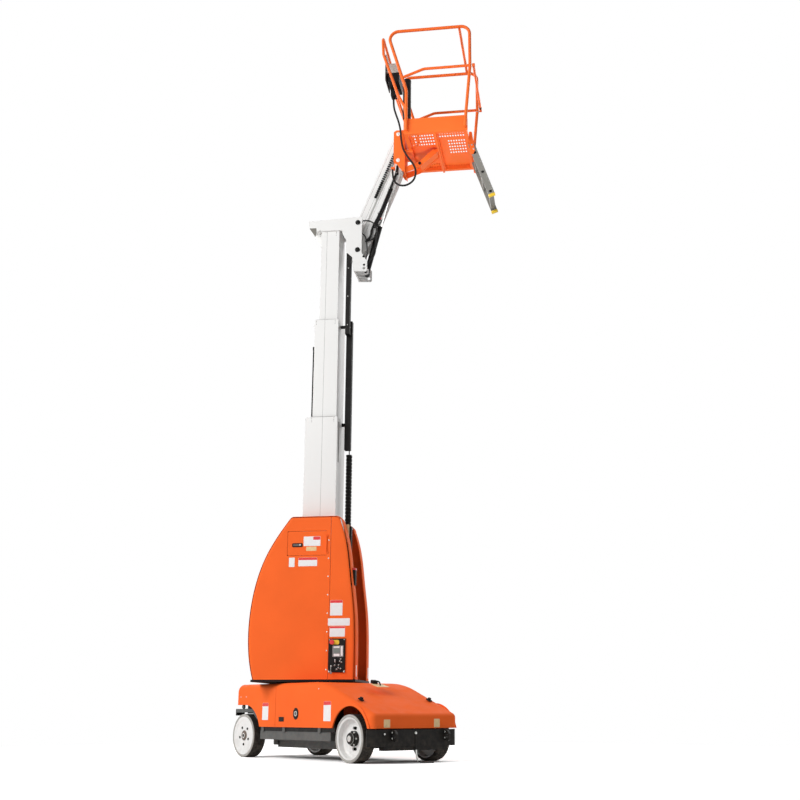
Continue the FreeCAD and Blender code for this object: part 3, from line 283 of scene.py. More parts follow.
class Form:
    """A shape in millimetres, drawn in one of the lift's places, or in none if it's only repeated or cut."""
    def __init__(self, place=None, *finishes):
        self.place = place
        self.finishes = finishes
        self.mesh = bmesh.new()

    def take(self, shape, use, place=None):
        """Takes in a shape, turned outwards."""
        if place is not None:
            shape.transform(place)
        bmesh.ops.remove_doubles(shape, verts=shape.verts, dist=0.001)
        bmesh.ops.recalc_face_normals(shape, faces=shape.faces)
        for face in shape.faces:
            face.material_index = use
        data = bpy.data.meshes.new("taken")
        shape.to_mesh(data)
        shape.free()
        self.take_mesh(data, use)

    def take_mesh(self, data, use, place=None):
        if place is not None:
            data.transform(place)
        before = len(self.mesh.faces)
        self.mesh.from_mesh(data)
        self.mesh.faces.ensure_lookup_table()
        for face in self.mesh.faces[before:]:
            face.material_index = use
        bpy.data.meshes.remove(data)

    def plain(self, name="plain"):
        """The form's mesh, without finishes."""
        data = bpy.data.meshes.new(name)
        self.mesh.to_mesh(data)
        self.mesh.free()
        return data

    def block(self, x0, x1, y0, y1, z0, z1, use=0, edge=1.0, place=None):
        shape = bmesh.new()
        middle = Matrix.Translation(((x0 + x1) / 2, (y0 + y1) / 2, (z0 + z1) / 2))
        bmesh.ops.create_cube(shape, size=1, matrix=middle @ Matrix.Diagonal((x1 - x0, y1 - y0, z1 - z0, 1)))
        if edge:
            bmesh.ops.bevel(shape, geom=shape.edges[:], offset=edge, segments=2, profile=0.5, affect="EDGES")
        self.take(shape, use, place)

    def turned(self, outline, start, direction, use=0, sides=40):
        """A shape turned about an axis; the outline is (radius, height) pairs along the direction."""
        shape = bmesh.new()
        rings = []
        for radius, height in outline:
            count = sides if radius > 0.01 else 1
            ring = []
            for i in range(count):
                angle = 2 * math.pi * i / count
                ring.append(shape.verts.new((radius * math.cos(angle), radius * math.sin(angle), height)))
            rings.append(ring)
        for low, high in zip(rings, rings[1:]):
            for i in range(sides):
                quad = [low[i % len(low)], low[(i + 1) % len(low)], high[(i + 1) % len(high)],
                        high[i % len(high)]]
                unique = list(dict.fromkeys(quad))
                if len(unique) > 2:
                    shape.faces.new(unique)
        for ring in (rings[0], rings[-1]):
            if len(ring) > 1 and outline[0] != outline[-1]:
                shape.faces.new(ring)
        self.take(shape, use, Matrix.Translation(start) @ facing(direction))

    def rod(self, start, end, dia, use=0, edge=0.8, sides=28):
        start, end = Vector(start), Vector(end)
        long, radius = (end - start).length, dia / 2
        edge = min(edge, radius * 0.6, long * 0.3)
        outline = [(0, 0), (radius - edge, 0), (radius, edge), (radius, long - edge), (radius - edge, long),
                   (0, long)]
        self.turned(outline, start, end - start, use, sides)

    def board(self, points, low, high, use=0, plane="XZ", edge=0.6, steps=6):
        """A flat piece with rounded corners, from low to high across its plane."""
        shape = bmesh.new()
        line = corners(points, steps)
        verts = [shape.verts.new((p.x, p.y, 0)) for p in line]
        face = shape.faces.new(verts)
        moved = bmesh.ops.extrude_face_region(shape, geom=[face])
        raised = [item for item in moved["geom"] if isinstance(item, bmesh.types.BMVert)]
        bmesh.ops.translate(shape, verts=raised, vec=(0, 0, high - low))
        if edge:
            rims = [e for e in shape.edges if abs(e.verts[0].co.z - e.verts[1].co.z) < 1e-6]
            bmesh.ops.bevel(shape, geom=rims, offset=min(edge, (high - low) * 0.4), segments=1,
                            affect="EDGES")
        turns = {
            "XY": Matrix.Identity(4),
            "XZ": Matrix(((1, 0, 0, 0), (0, 0, 1, 0), (0, 1, 0, 0), (0, 0, 0, 1))),
            "YZ": Matrix(((0, 0, 1, 0), (1, 0, 0, 0), (0, 1, 0, 0), (0, 0, 0, 1))),
        }
        shift = {"XY": (0, 0, low), "XZ": (0, low, 0), "YZ": (low, 0, 0)}[plane]
        self.take(shape, use, Matrix.Translation(shift) @ turns[plane])

    def plate(self, u0, u1, v0, v1, radius, low, high, use=0, **look):
        """An upright or flat rectangle with four like corners, from low to high across its plane."""
        outline = [(u0, v0, radius), (u1, v0, radius), (u1, v1, radius), (u0, v1, radius)]
        self.board(outline, low, high, use, **look)

    def pipe(self, points, dia, use=0):
        """A round tube along a smooth curve that is pulled towards its points."""
        data = bpy.data.curves.new("pipe", "CURVE")
        data.dimensions = "3D"
        data.bevel_depth = dia / 2
        data.bevel_resolution = 4
        data.resolution_u = 6
        data.use_fill_caps = True
        spline = data.splines.new("NURBS")
        spline.points.add(len(points) - 1)
        for point, value in zip(spline.points, points):
            point.co = (*value, 1)
        spline.order_u = 3
        spline.use_endpoint_u = True
        host = bpy.data.objects.new("pipe", data)
        self.take_mesh(bpy.data.meshes.new_from_object(host), use)
        bpy.data.objects.remove(host)
        bpy.data.curves.remove(data)

    def bolt(self, place, direction, across=13, tall=6, use=0):
        """A hexagon head on a washer."""
        turn = Matrix.Translation(place) @ facing(direction)
        washer = [(across * 0.62, 0), (across * 0.62, 1.6)]
        head = [(across * 0.55, 1.6), (across * 0.55, tall - 1), (across * 0.45, tall)]
        for outline, sides in ((washer, 20), (head, 6)):
            shape = bmesh.new()
            rings = []
            for radius, height in outline:
                angles = [2 * math.pi * i / sides for i in range(sides)]
                ring = [(radius * math.cos(a), radius * math.sin(a), height) for a in angles]
                rings.append([shape.verts.new(point) for point in ring])
            for low, high in zip(rings, rings[1:]):
                for i in range(sides):
                    shape.faces.new((low[i], low[(i + 1) % sides], high[(i + 1) % sides], high[i]))
            shape.faces.new(rings[0])
            shape.faces.new(rings[-1])
            self.take(shape, use, turn)

    def done(self, name, body, slot, replaced=(), sharp=32):
        """The form as one object that moves with a body of the lift."""
        data = self.plain(name)
        data.transform(self.place)
        data.shade_smooth()
        data.set_sharp_from_angle(angle=math.radians(sharp))
        for key in self.finishes:
            data.materials.append(FINISHES[key])
        thing = bpy.data.objects.new(name, data)
        bpy.context.scene.collection.objects.link(thing)
        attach(thing, body)
        if replaced:
            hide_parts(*replaced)
        return thing


# Repeats, made by trees of geometry nodes
def new_tree(name, *inputs):
    tree = bpy.data.node_groups.new(name, "GeometryNodeTree")
    tree.interface.new_socket("Geometry", in_out="INPUT", socket_type="NodeSocketGeometry")
    for label, kind in inputs + (("Item", "NodeSocketObject"), ("Finish", "NodeSocketMaterial")):
        tree.interface.new_socket(label, in_out="INPUT", socket_type=kind)
    tree.interface.new_socket("Geometry", in_out="OUTPUT", socket_type="NodeSocketGeometry")
    return tree, tree.nodes.new("NodeGroupInput"), tree.nodes.new("NodeGroupOutput")


def copies(tree, given, result, points, rotation=None):
    """Puts the item on each point, makes it real and gives it its finish."""
    item = tree.nodes.new("GeometryNodeObjectInfo")
    item.inputs["As Instance"].default_value = True
    tree.links.new(given.outputs["Item"], item.inputs["Object"])
    spread = tree.nodes.new("GeometryNodeInstanceOnPoints")
    tree.links.new(points, spread.inputs["Points"])
    tree.links.new(item.outputs["Geometry"], spread.inputs["Instance"])
    if rotation is not None:
        tree.links.new(rotation, spread.inputs["Rotation"])
    real = tree.nodes.new("GeometryNodeRealizeInstances")
    tree.links.new(spread.outputs["Instances"], real.inputs["Geometry"])
    paint = tree.nodes.new("GeometryNodeSetMaterial")
    tree.links.new(real.outputs["Geometry"], paint.inputs["Geometry"])
    tree.links.new(given.outputs["Finish"], paint.inputs["Material"])
    tree.links.new(paint.outputs["Geometry"], result.inputs["Geometry"])


def row_tree():
    tree, given, result = new_tree("Row of Items", ("Count", "NodeSocketInt"), ("Start", "NodeSocketVector"),
                                   ("Step", "NodeSocketVector"))
    line = tree.nodes.new("GeometryNodeMeshLine")
    line.mode = "OFFSET"
    tree.links.new(given.outputs["Count"], line.inputs["Count"])
    tree.links.new(given.outputs["Start"], line.inputs["Start Location"])
    tree.links.new(given.outputs["Step"], line.inputs["Offset"])
    copies(tree, given, result, line.outputs["Mesh"])
    return tree


def ring_tree():
    tree, given, result = new_tree("Ring of Items", ("Count", "NodeSocketInt"), ("Radius", "NodeSocketFloat"))
    circle = tree.nodes.new("GeometryNodeMeshCircle")
    tree.links.new(given.outputs["Count"], circle.inputs["Vertices"])
    tree.links.new(given.outputs["Radius"], circle.inputs["Radius"])
    outward = tree.nodes.new("FunctionNodeAlignRotationToVector")
    outward.axis = "X"
    outward.pivot_axis = "Z"
    tree.links.new(tree.nodes.new("GeometryNodeInputPosition").outputs["Position"], outward.inputs["Vector"])
    copies(tree, given, result, circle.outputs["Mesh"], outward.outputs["Rotation"])
    return tree


def grid_tree():
    tree, given, result = new_tree("Grid of Items", ("Count X", "NodeSocketInt"),
                                   ("Count Y", "NodeSocketInt"), ("Size X", "NodeSocketFloat"),
                                   ("Size Y", "NodeSocketFloat"))
    grid = tree.nodes.new("GeometryNodeMeshGrid")
    for name, socket in (("Count X", "Vertices X"), ("Count Y", "Vertices Y"), ("Size X", "Size X"),
                         ("Size Y", "Size Y")):
        tree.links.new(given.outputs[name], grid.inputs[socket])
    copies(tree, given, result, grid.outputs["Mesh"])
    return tree


TREES = {"row": row_tree, "ring": ring_tree, "grid": grid_tree}


def repeated(kind, item, finish_name, **values):
    """The plain mesh that one of the trees makes from an item's form."""
    if kind not in bpy.data.node_groups:
        tree = TREES[kind]()
        tree.name = kind
    tree = bpy.data.node_groups[kind]
    template = bpy.data.objects.new("item", item.plain())
    host = bpy.data.objects.new("host", bpy.data.meshes.new("host"))
    for thing in (template, host):
        bpy.context.scene.collection.objects.link(thing)
    modifier = host.modifiers.new("repeat", "NODES")
    modifier.node_group = tree
    values = {key.replace("_", " "): value for key, value in values.items()}
    values.update({"Item": template, "Finish": FINISHES[finish_name]})
    for socket in tree.interface.items_tree:
        if socket.in_out == "INPUT" and socket.name in values:
            modifier[socket.identifier] = values[socket.name]
    graph = bpy.context.evaluated_depsgraph_get()
    data = bpy.data.meshes.new_from_object(host.evaluated_get(graph))
    host.modifiers.remove(modifier)
    for thing in (host, template):
        bpy.data.objects.remove(thing)
    data.materials.clear()
    return data


def less(whole, cutter):
    """The plain mesh of a form with another form's closed shapes taken out of it."""
    things = []
    for form in (whole, cutter):
        things.append(bpy.data.objects.new("solid", form.plain()))
        bpy.context.scene.collection.objects.link(things[-1])
    modifier = things[0].modifiers.new("holes", "BOOLEAN")
    modifier.operation = "DIFFERENCE"
    modifier.solver = "MANIFOLD"
    modifier.object = things[1]
    data = bpy.data.meshes.new_from_object(things[0].evaluated_get(bpy.context.evaluated_depsgraph_get()))
    for thing in things:
        bpy.data.objects.remove(thing)
    return data


# Operators, one for each piece or group of like pieces
HUB, INWARDS = (0, 0, 0), (0, 0, 1)


def wheel_axis(axle_x, side):
    """A wheel's own place in the chassis: its Z runs from the outer face inwards."""
    turn = Matrix.Rotation(math.radians(90 * side), 4, "X")
    return Matrix.Translation((axle_x, side * WHEEL_OUT, TYRE_RADIUS)) @ turn


class LIFT_OT_finishes(bpy.types.Operator):
    """Give every CAD node its finish"""
    bl_idname = "mast_lift.finishes"
    bl_label = "Finishes"

    SLOTS = {
        "orange_shell": ("tail_cover", "nose_cover", "near_side_cover", "far_side_cover", "front_strips",
                         "access_door"),
        "orange_steel": ("platform_bracket", "floor_frame", "platform_floor", "toe_boards", "near_rail",
                         "far_rail", "end_rails", "entry_bar", "ladder_brackets"),
        "white_enamel": ("mast_base", "mast_stage_1", "mast_stage_2", "mast_stage_3", "mast_head",
                         "jib_upper_arm", "jib_lower_arm"),
        "wheel_enamel": ("tail_near_rim", "tail_far_rim", "nose_near_rim", "nose_far_rim"),
        "frame_grey": ("chassis_frame",),
        "black_steel": ("nose_bumper", "turntable_plate", "nose_near_hub", "nose_far_hub", "jib_barrel",
                        "slewing_bearing", "steer_barrel", "leaf_chain"),
        "black_plastic": ("base_trunk", "lower_chain", "middle_trunk", "head_trunk", "control_panel",
                          "console", "document_tube", "jib_chain"),
        "iron": ("nose_axle", "tail_axle", "tail_near_knuckle", "tail_far_knuckle", "counterweight"),
        "chrome_rod": ("jib_ram", "steer_rod"),
        "slide_plastic": ("slide_pads_base", "slide_pads_1", "slide_pads_2"),
        "aluminium": ("ladder",),
        "tread_rubber": ("tail_near_tyre", "tail_far_tyre", "nose_near_tyre", "nose_far_tyre"),
    }

    def execute(self, context):
        make_finishes(context.scene.lift_colours)
        for name, nodes in self.SLOTS.items():
            for node in nodes:
                data = NODES[node].data
                if not data.materials:
                    data.materials.append(FINISHES[name])
                for i in range(len(data.materials)):
                    data.materials[i] = FINISHES[name]
        return {"FINISHED"}


class LIFT_OT_tyres(bpy.types.Operator):
    """Make the four tyres: a carcass, a pale ring on the outer sidewall and three rows of tread blocks"""
    bl_idname = "mast_lift.tyres"
    bl_label = "Tyres"

    # Half of a tread block's length, as a share of the blocks' spacing
    BLOCK_HALF = 0.39

    def execute(self, context):
        sizes = context.scene.lift_sizes
        deep = sizes.tread_depth / MM
        blocks = sizes.tread_blocks
        around = 2 * math.pi * TYRE_RADIUS / blocks
        for name, axle_x, side in WHEELS:
            tyre = Form(CHASSIS @ wheel_axis(axle_x, side), "tread_rubber", "sidewall")
            base, inner = TYRE_RADIUS - deep, TYRE_WIDTH - 9
            tread = [(RIM_EDGE, 6), (RIM_EDGE + 1, 5), (base - 3, 5), (base, 9), (base, inner),
                     (base - 3, inner + 4), (RIM_EDGE + 1, inner + 4), (RIM_EDGE, inner + 3), (RIM_EDGE, 6)]
            tyre.turned(tread, HUB, INWARDS, 0, 96)
            for face, out in ((0, 1), (TYRE_WIDTH, -1)):
                band = [(RIM_EDGE, 6), (RIM_EDGE, 3.5), (RIM_EDGE + 3, 1.5), (RIM_EDGE + 8, 0.3),
                        (RIM_EDGE + 16, 0.6), (base + 0.5, 3), (base + 1.5, 8), (base - 6, 8), (RIM_EDGE, 6)]
                band = [(radius, face + height * out) for radius, height in band]
                tyre.turned(band, HUB, INWARDS, 1 if out > 0 else 0, 96)
            for low, high, turn in ((9, 40, 0), (43, 84, 0.5), (87, inner, 0)):
                item = Form()
                item.block(-2, deep, -around * self.BLOCK_HALF, around * self.BLOCK_HALF, low, high, edge=0.8)
                data = repeated("ring", item, "tread_rubber", Count=blocks, Radius=base)
                tyre.take_mesh(data, 0, Matrix.Rotation(math.radians(360 / blocks * turn), 4, "Z"))
            tyre.done(name + "_tread", name + "_wheel", "tyre_rubber", [name + "_tyre"])
        return {"FINISHED"}


class LIFT_OT_wheel_bolts(bpy.types.Operator):
    """Put the bolts and centre caps on the wheels, and a dark drum behind the nose wheels' hand holes"""
    bl_idname = "mast_lift.wheel_bolts"
    bl_label = "Wheel bolts"

    # Rings of bolts: how many, their circle's radius, a head's width and height, and how deep they sit
    TAIL_BOLTS = (5, 78, 19, 6, 14.2)
    NOSE_BOLTS = (6, 52.5, 14, 7, 36.5)
    TAIL_CAP = [(0, 1), (13, 1), (16, 3.5), (28, 4), (33, 8), (41, 8.8), (44, 10), (44, 13.4), (0, 13.4)]
    NOSE_CAP = [(0, 1.2), (12, 1.2), (14, 0.6), (22, 0.6), (24, 1.8), (24, 3), (0, 3)]
    NOSE_CAP_RING = [(45.3, 12), (46.2, 12), (46.2, 16), (45.3, 16), (45.3, 12)]
    NOSE_DRUM = [(62, 84), (104, 84), (104, 90), (62, 90), (62, 84)]

    def execute(self, context):
        for name, axle_x, side in WHEELS:
            trim = Form(CHASSIS @ wheel_axis(axle_x, side), "zinc", "brown_steel", "black_steel")
            tail = name.startswith("tail")
            count, circle, across, tall, deep = self.TAIL_BOLTS if tail else self.NOSE_BOLTS
            item = Form()
            item.bolt((0, 0, deep), (0, 0, -1), across=across, tall=tall)
            if tail:
                turn = Matrix.Rotation(0.4, 4, "Z")
                trim.take_mesh(repeated("ring", item, "black_steel", Count=count, Radius=circle), 2, turn)
                trim.turned(self.TAIL_CAP, HUB, INWARDS, 1)
                trim.rod((0, 0, 3), (0, 0, 0.5), 27, 2)
            else:
                trim.take_mesh(repeated("ring", item, "zinc", Count=count, Radius=circle), 0)
                trim.turned(self.NOSE_CAP, HUB, INWARDS, 0)
                trim.turned(self.NOSE_CAP_RING, HUB, INWARDS, 0)
                trim.turned(self.NOSE_DRUM, HUB, INWARDS, 2)
            trim.done(name + "_wheel_trim", name + "_wheel", "dark_steel")
        return {"FINISHED"}


class LIFT_OT_chassis_trim(bpy.types.Operator):
    """Add the chassis covers' blank plates, locks and handles, the frame's brackets and bumper hardware"""
    bl_idname = "mast_lift.chassis_trim"
    bl_label = "Chassis trim"

    # Blank plates on the sides: rear edge, front edge, foot, top. Those on the nose: two edges, foot, top
    SIDE_PLATES = [(-252, -151, 329, 477), (719, 824, 324, 484)]
    NOSE_PLATES = [(-330, -266, 277, 340), (190, 252, 277, 344)]
    NOSE_FACE = 1388

    # The round lock on each side, and the slopes where the bonnet's lead and handles lie
    LOCK_X, LOCK_Z = 299, 384
    LEAD_PLACE, LEAD_SLOPE = (940, -30, 613.6), 14.6
    HANDLE_X, HANDLE_Z, HANDLE_SLOPE = 1120, 493, 20.5

    def execute(self, context):
        trim = Form(CHASSIS, "plate_white", "plate_red", "black_plastic", "plate_cream", "zinc")
        for side in (-1, 1):
            for x0, x1, z0, z1 in self.SIDE_PLATES:
                low, high = outward(side, COVER_SIDE, COVER_SIDE + 0.9)
                trim.plate(x0, x1, z0, z1, 6, low, high, 0, edge=0.3)
                low, high = outward(side, COVER_SIDE + 0.5, COVER_SIDE + 1.3)
                band = [(x0 + 1, z1 - 30, 4), (x1 - 1, z1 - 30, 4), (x1 - 1, z1 - 1, 5), (x0 + 1, z1 - 1, 5)]
                trim.board(band, low, high, 1, edge=0.3)
            low, high = outward(side, COVER_SIDE, COVER_SIDE + 3.5)
            trim.plate(30, 110, 318, 356, 5, low, high, 2)
            x, z = self.LOCK_X, self.LOCK_Z
            lock = Form()
            ring = [(54, 0), (54, 3), (50, 5), (43, 5), (40, 2.5), (0, 2.5)]
            lock.turned(ring, (0, 0, 0), (0, side, 0), 0, 48)
            place = Matrix.Translation((x, side * COVER_SIDE, z))
            trim.take_mesh(lock.plain(), 2, place @ Matrix.Diagonal((0.76, 1, 0.9, 1)))
            for first, last, dia, use, sides in ((1, 6, 44, 4, 36), (5, 8, 26, 2, 28)):
                ends = [(x, side * (COVER_SIDE + out), z) for out in (first, last)]
                trim.rod(*ends, dia, use, sides=sides)
            low, high = outward(side, COVER_SIDE + 7, COVER_SIDE + 9)
            trim.block(x - 3, x + 3, low, high, z - 8, z + 8, 4, 0.6)
        for y0, y1, z0, z1 in self.NOSE_PLATES:
            trim.plate(y0, y1, z0, z1, 4, self.NOSE_FACE, self.NOSE_FACE + 0.9, 3, plane="YZ", edge=0.3)
        slope = Matrix.Translation(self.LEAD_PLACE) @ Matrix.Rotation(math.radians(self.LEAD_SLOPE), 4, "Y")
        trim.block(-52, 52, -62, 62, -1, 2.4, 3, 1.0, slope)
        trim.block(-104, -62, -30, 22, -2, 26, 2, 5.0, slope)
        lead = [(870, -34, 650), (900, -34, 652), (926, -30, 646), (938, -28, 630), (942, -28, 614)]
        trim.pipe(lead, 13, 2)
        for y in (-360, 360):
            turn = Matrix.Rotation(math.radians(self.HANDLE_SLOPE), 4, "Y")
            handle = Matrix.Translation((self.HANDLE_X, y, self.HANDLE_Z)) @ turn
            trim.block(-26, 26, -15, 15, -2, 10, 2, 3.0, handle)
            trim.block(-10, 14, -11, 11, 9, 25, 2, 4.0, handle)
        trim.done("cover_trim", "chassis", "black_plastic")

        steel = Form(CHASSIS, "zinc", "black_steel", "frame_grey")
        steel.bolt((1400, -14, 234), (1, 0, 0), across=19, tall=9)
        for x, y in ((1372, -380), (1400, -330), (1372, 380), (1400, 330)):
            steel.bolt((x, y, 228), (1, 0, 0), across=13, tall=6)
        for lug_y in (-250, 300):
            for z in (194, 240):
                for side in (-1, 1):
                    steel.bolt((1411, lug_y + side * 11.2, z), (0, side, 0), across=12, tall=6)
        screw = [(5.5, 0), (5.5, 1.2), (3.5, 2.6), (0, 3)]
        for side in (-1, 1):
            for x, z in ((-640, 532), (-545, 532), (640, 588)):
                steel.turned(screw, (x, side * (COVER_SIDE - 0.4), z), (0, side, 0), 0, 14)
            self.bracket(steel, side)
            for z0, z1 in ((384, 403), (421, 600)):
                steel.block(-700, -330, *outward(side, 330, 336), z0, z1, 1, 0)
            steel.block(-290, 872, *outward(side, 433, 438), 236, 300, 1, 0)
            steel.block(-318, -215, *outward(side, 200, 280), 112, 168, 2, 2)
            for x in (-610, -584):
                steel.bolt((x, side * 400, 420), (0, 0, 1), across=16, tall=8)
        steel.block(1400, 1404, -21, -7, 112, 232, 1, 1)
        steel.done("chassis_bolts", "chassis", "dark_steel")
        return {"FINISHED"}

    @staticmethod
    def bracket(steel, side):
        """The frame's bracket over a tail wheel: shelves, end plate, lip, struts and the spindle's cap."""
        low, high = outward(side, 350, 440)
        steel.block(-726, -634, low, high, 404, 420, 2, 2)
        steel.block(-484, -424, low, high, 404, 420, 2, 2)
        steel.block(-741, -725, low, high, 366, 426, 1, 4)
        low, high = outward(side, 434, 441)
        steel.block(-724, -424, low, high, 394, 426, 2, 1.5)
        steel.board([(-436, 394), (-424, 426, 6), (-338, 346), (-354, 332)], low, high, 2)
        steel.board([(-580, 424), (-520, 424), (-512, 474, 8), (-572, 474, 8)], *outward(side, 330, 336), 2)
        steel.turned([(19, 0), (19, 14), (13, 20), (0, 21)], (-622, side * 418, 444), (0, side, 0), 2, 28)


class LIFT_OT_tower_trim(bpy.types.Operator):
    """Add the tower's blank plates and rivets, its door's trim, panel controls and the recess's boxes"""
    bl_idname = "mast_lift.tower_trim"
    bl_label = "Tower trim"

    PLATES = [
        # rear edge, front edge, foot, top, band along the top or none
        (-241, -188, 1676, 1761, 0),
        (-153, 22, 1681, 1759, 22),
        (153, 266, 1234, 1370, 24),
        (136, 335, 1144, 1209, 0),
        (153, 292, 1047, 1137, 16),
    ]
    RIVETS, RIVET_X, RIVET_Z, RIVET_PITCH = 8, 128, 760, 165
    PANEL_DEPTH = 10
    SWITCHES = [(262, 852), (254, 832), (270, 824), (208, 798), (244, 800), (242, 776), (262, 768),
                (226, 762)]

    def execute(self, context):
        self.plates()
        self.door()
        self.panel()
        boxes = Form(UPPER, "black_plastic", "plate_red", "plate_cream")
        boxes.block(300, 362, -262, -206, 1512, 1655, 0, 3)
        boxes.block(300, 364, -264, -204, 1650, 1668, 1, 2)
        boxes.block(236, 284, -206, -196, 1920, 2080, 2, 2)
        boxes.done("recess_boxes", "turntable", "black_plastic")
        return {"FINISHED"}

    def plates(self):
        trim = Form(UPPER, "plate_white", "plate_red", "zinc")
        face = -TOWER_SIDE
        for x0, x1, z0, z1, band in self.PLATES:
            trim.plate(x0, x1, z0, z1, 5, face - 0.9, face, 0, edge=0.3)
            if band:
                strip = [(x0 + 1, z1 - band, 2), (x1 - 1, z1 - band, 2), (x1 - 1, z1 - 1, 4),
                         (x0 + 1, z1 - 1, 4)]
                trim.board(strip, face - 1.3, face - 0.5, 1, edge=0.3)
        for side in (-1, 1):
            item = Form()
            item.turned([(6, 0), (6, 1.2), (4, 2.6), (0, 3)], (0, 0, 0), (0, side, 0), 0, 14)
            start, step = (self.RIVET_X, side * TOWER_SIDE, self.RIVET_Z), (0, 0, self.RIVET_PITCH)
            trim.take_mesh(repeated("row", item, "zinc", Count=self.RIVETS, Start=start, Step=step), 2)
        for y in (-300, 262):
            trim.block(388.6, 389.6, y, y + 36, 700, 800, 0, 0.2)
        trim.done("tower_plates", "turntable", "black_plastic")

    @staticmethod
    def door():
        door = Form(UPPER, "black_plastic", "zinc", "plate_white", "plate_cream", "plate_red", "seam")
        face = -TOWER_SIDE
        door.plate(-215, -118, 1858, 1892, 8, face - 5, face - 0.5, 0)
        door.plate(-205, -128, 1866, 1884, 6, face - 9, face - 4, 5)
        door.rod((-140, face - 5, 1875), (-140, face - 12, 1875), 14, 1)
        door.plate(-109, 48, 1865, 1953, 5, face - 0.9, face, 2, edge=0.3)
        flag = [(-20, 1921, 3), (46, 1921, 3), (46, 1951, 4), (-20, 1951, 4)]
        door.board(flag, face - 1.4, face - 0.5, 4, edge=0.3)
        door.plate(-83, 13, 1820, 1859, 4, face - 0.9, face, 3, edge=0.3)
        door.done("door_trim", "door", "black_plastic")

    def panel(self):
        panel = Form(UPPER, "black_plastic", "plate_red", "yellow", "panel_grey", "display", "plate_white",
                     "zinc")
        y = -TOWER_SIDE - self.PANEL_DEPTH
        panel.plate(150, 298, 738, 1028, 10, y - 3, y + 0.5, 0, edge=1)
        panel.plate(166, 246, 978, 1018, 14, y - 5, y - 2.5, 2)
        stop = [(15, 0), (15, 12), (10, 14), (10, 20), (20, 22), (22, 27), (20, 32), (0, 35)]
        panel.turned(stop, (184, y - 2, 998), (0, -1, 0), 1, 36)
        panel.plate(186, 286, 868, 970, 6, y - 9, y - 2.5, 3, edge=1.5)
        panel.plate(198, 254, 906, 940, 3, y - 10, y - 8.5, 4, edge=0.3)
        panel.plate(196, 250, 948, 962, 2, y - 9.8, y - 8.7, 5, edge=0.3)
        panel.plate(262, 280, 878, 962, 2, y - 9.8, y - 8.7, 5, edge=0.3)
        panel.plate(198, 252, 876, 896, 2, y - 9.8, y - 8.7, 5, edge=0.3)
        knob = [(22, 0), (22, 4), (17, 7), (17, 16), (14, 18), (0, 18)]
        panel.turned(knob, (214, y - 3, 836), (0, -1, 0), 0, 32)
        panel.block(211, 217, y - 24, y - 20, 822, 850, 5, 0.8)
        toggle = [(6.5, 0), (6.5, 3), (4, 4), (3.2, 14), (2.5, 17), (0, 18)]
        for x, z in self.SWITCHES:
            panel.turned(toggle, (x, y - 3, z), (0, -1, -0.25), 6, 14)
        panel.rod((178, y - 2, 790), (178, y - 13, 790), 15, 6)
        panel.block(176.5, 179.5, y - 26, y - 12, 770, 794, 6, 0.5)
        panel.pipe([(178, y - 22, 772), (180, y - 26, 760), (176, y - 25, 742), (181, y - 24, 728)], 3, 6)
        panel.plate(172, 188, 722, 742, 3, y - 26, y - 23, 3)
        for x, z in ((158, 746), (290, 746), (290, 1020), (158, 1020)):
            panel.rod((x, y - 2.5, z), (x, y - 4.5, z), 8, 6, sides=14)
        for x, turn in ((150, 1), (298, -1)):
            panel.board([(x, 738), (x + 16 * turn, 738), (x, 756)], y - 3.8, y - 2.8, 5, edge=0)
        panel.done("panel_controls", "turntable", "black_plastic")


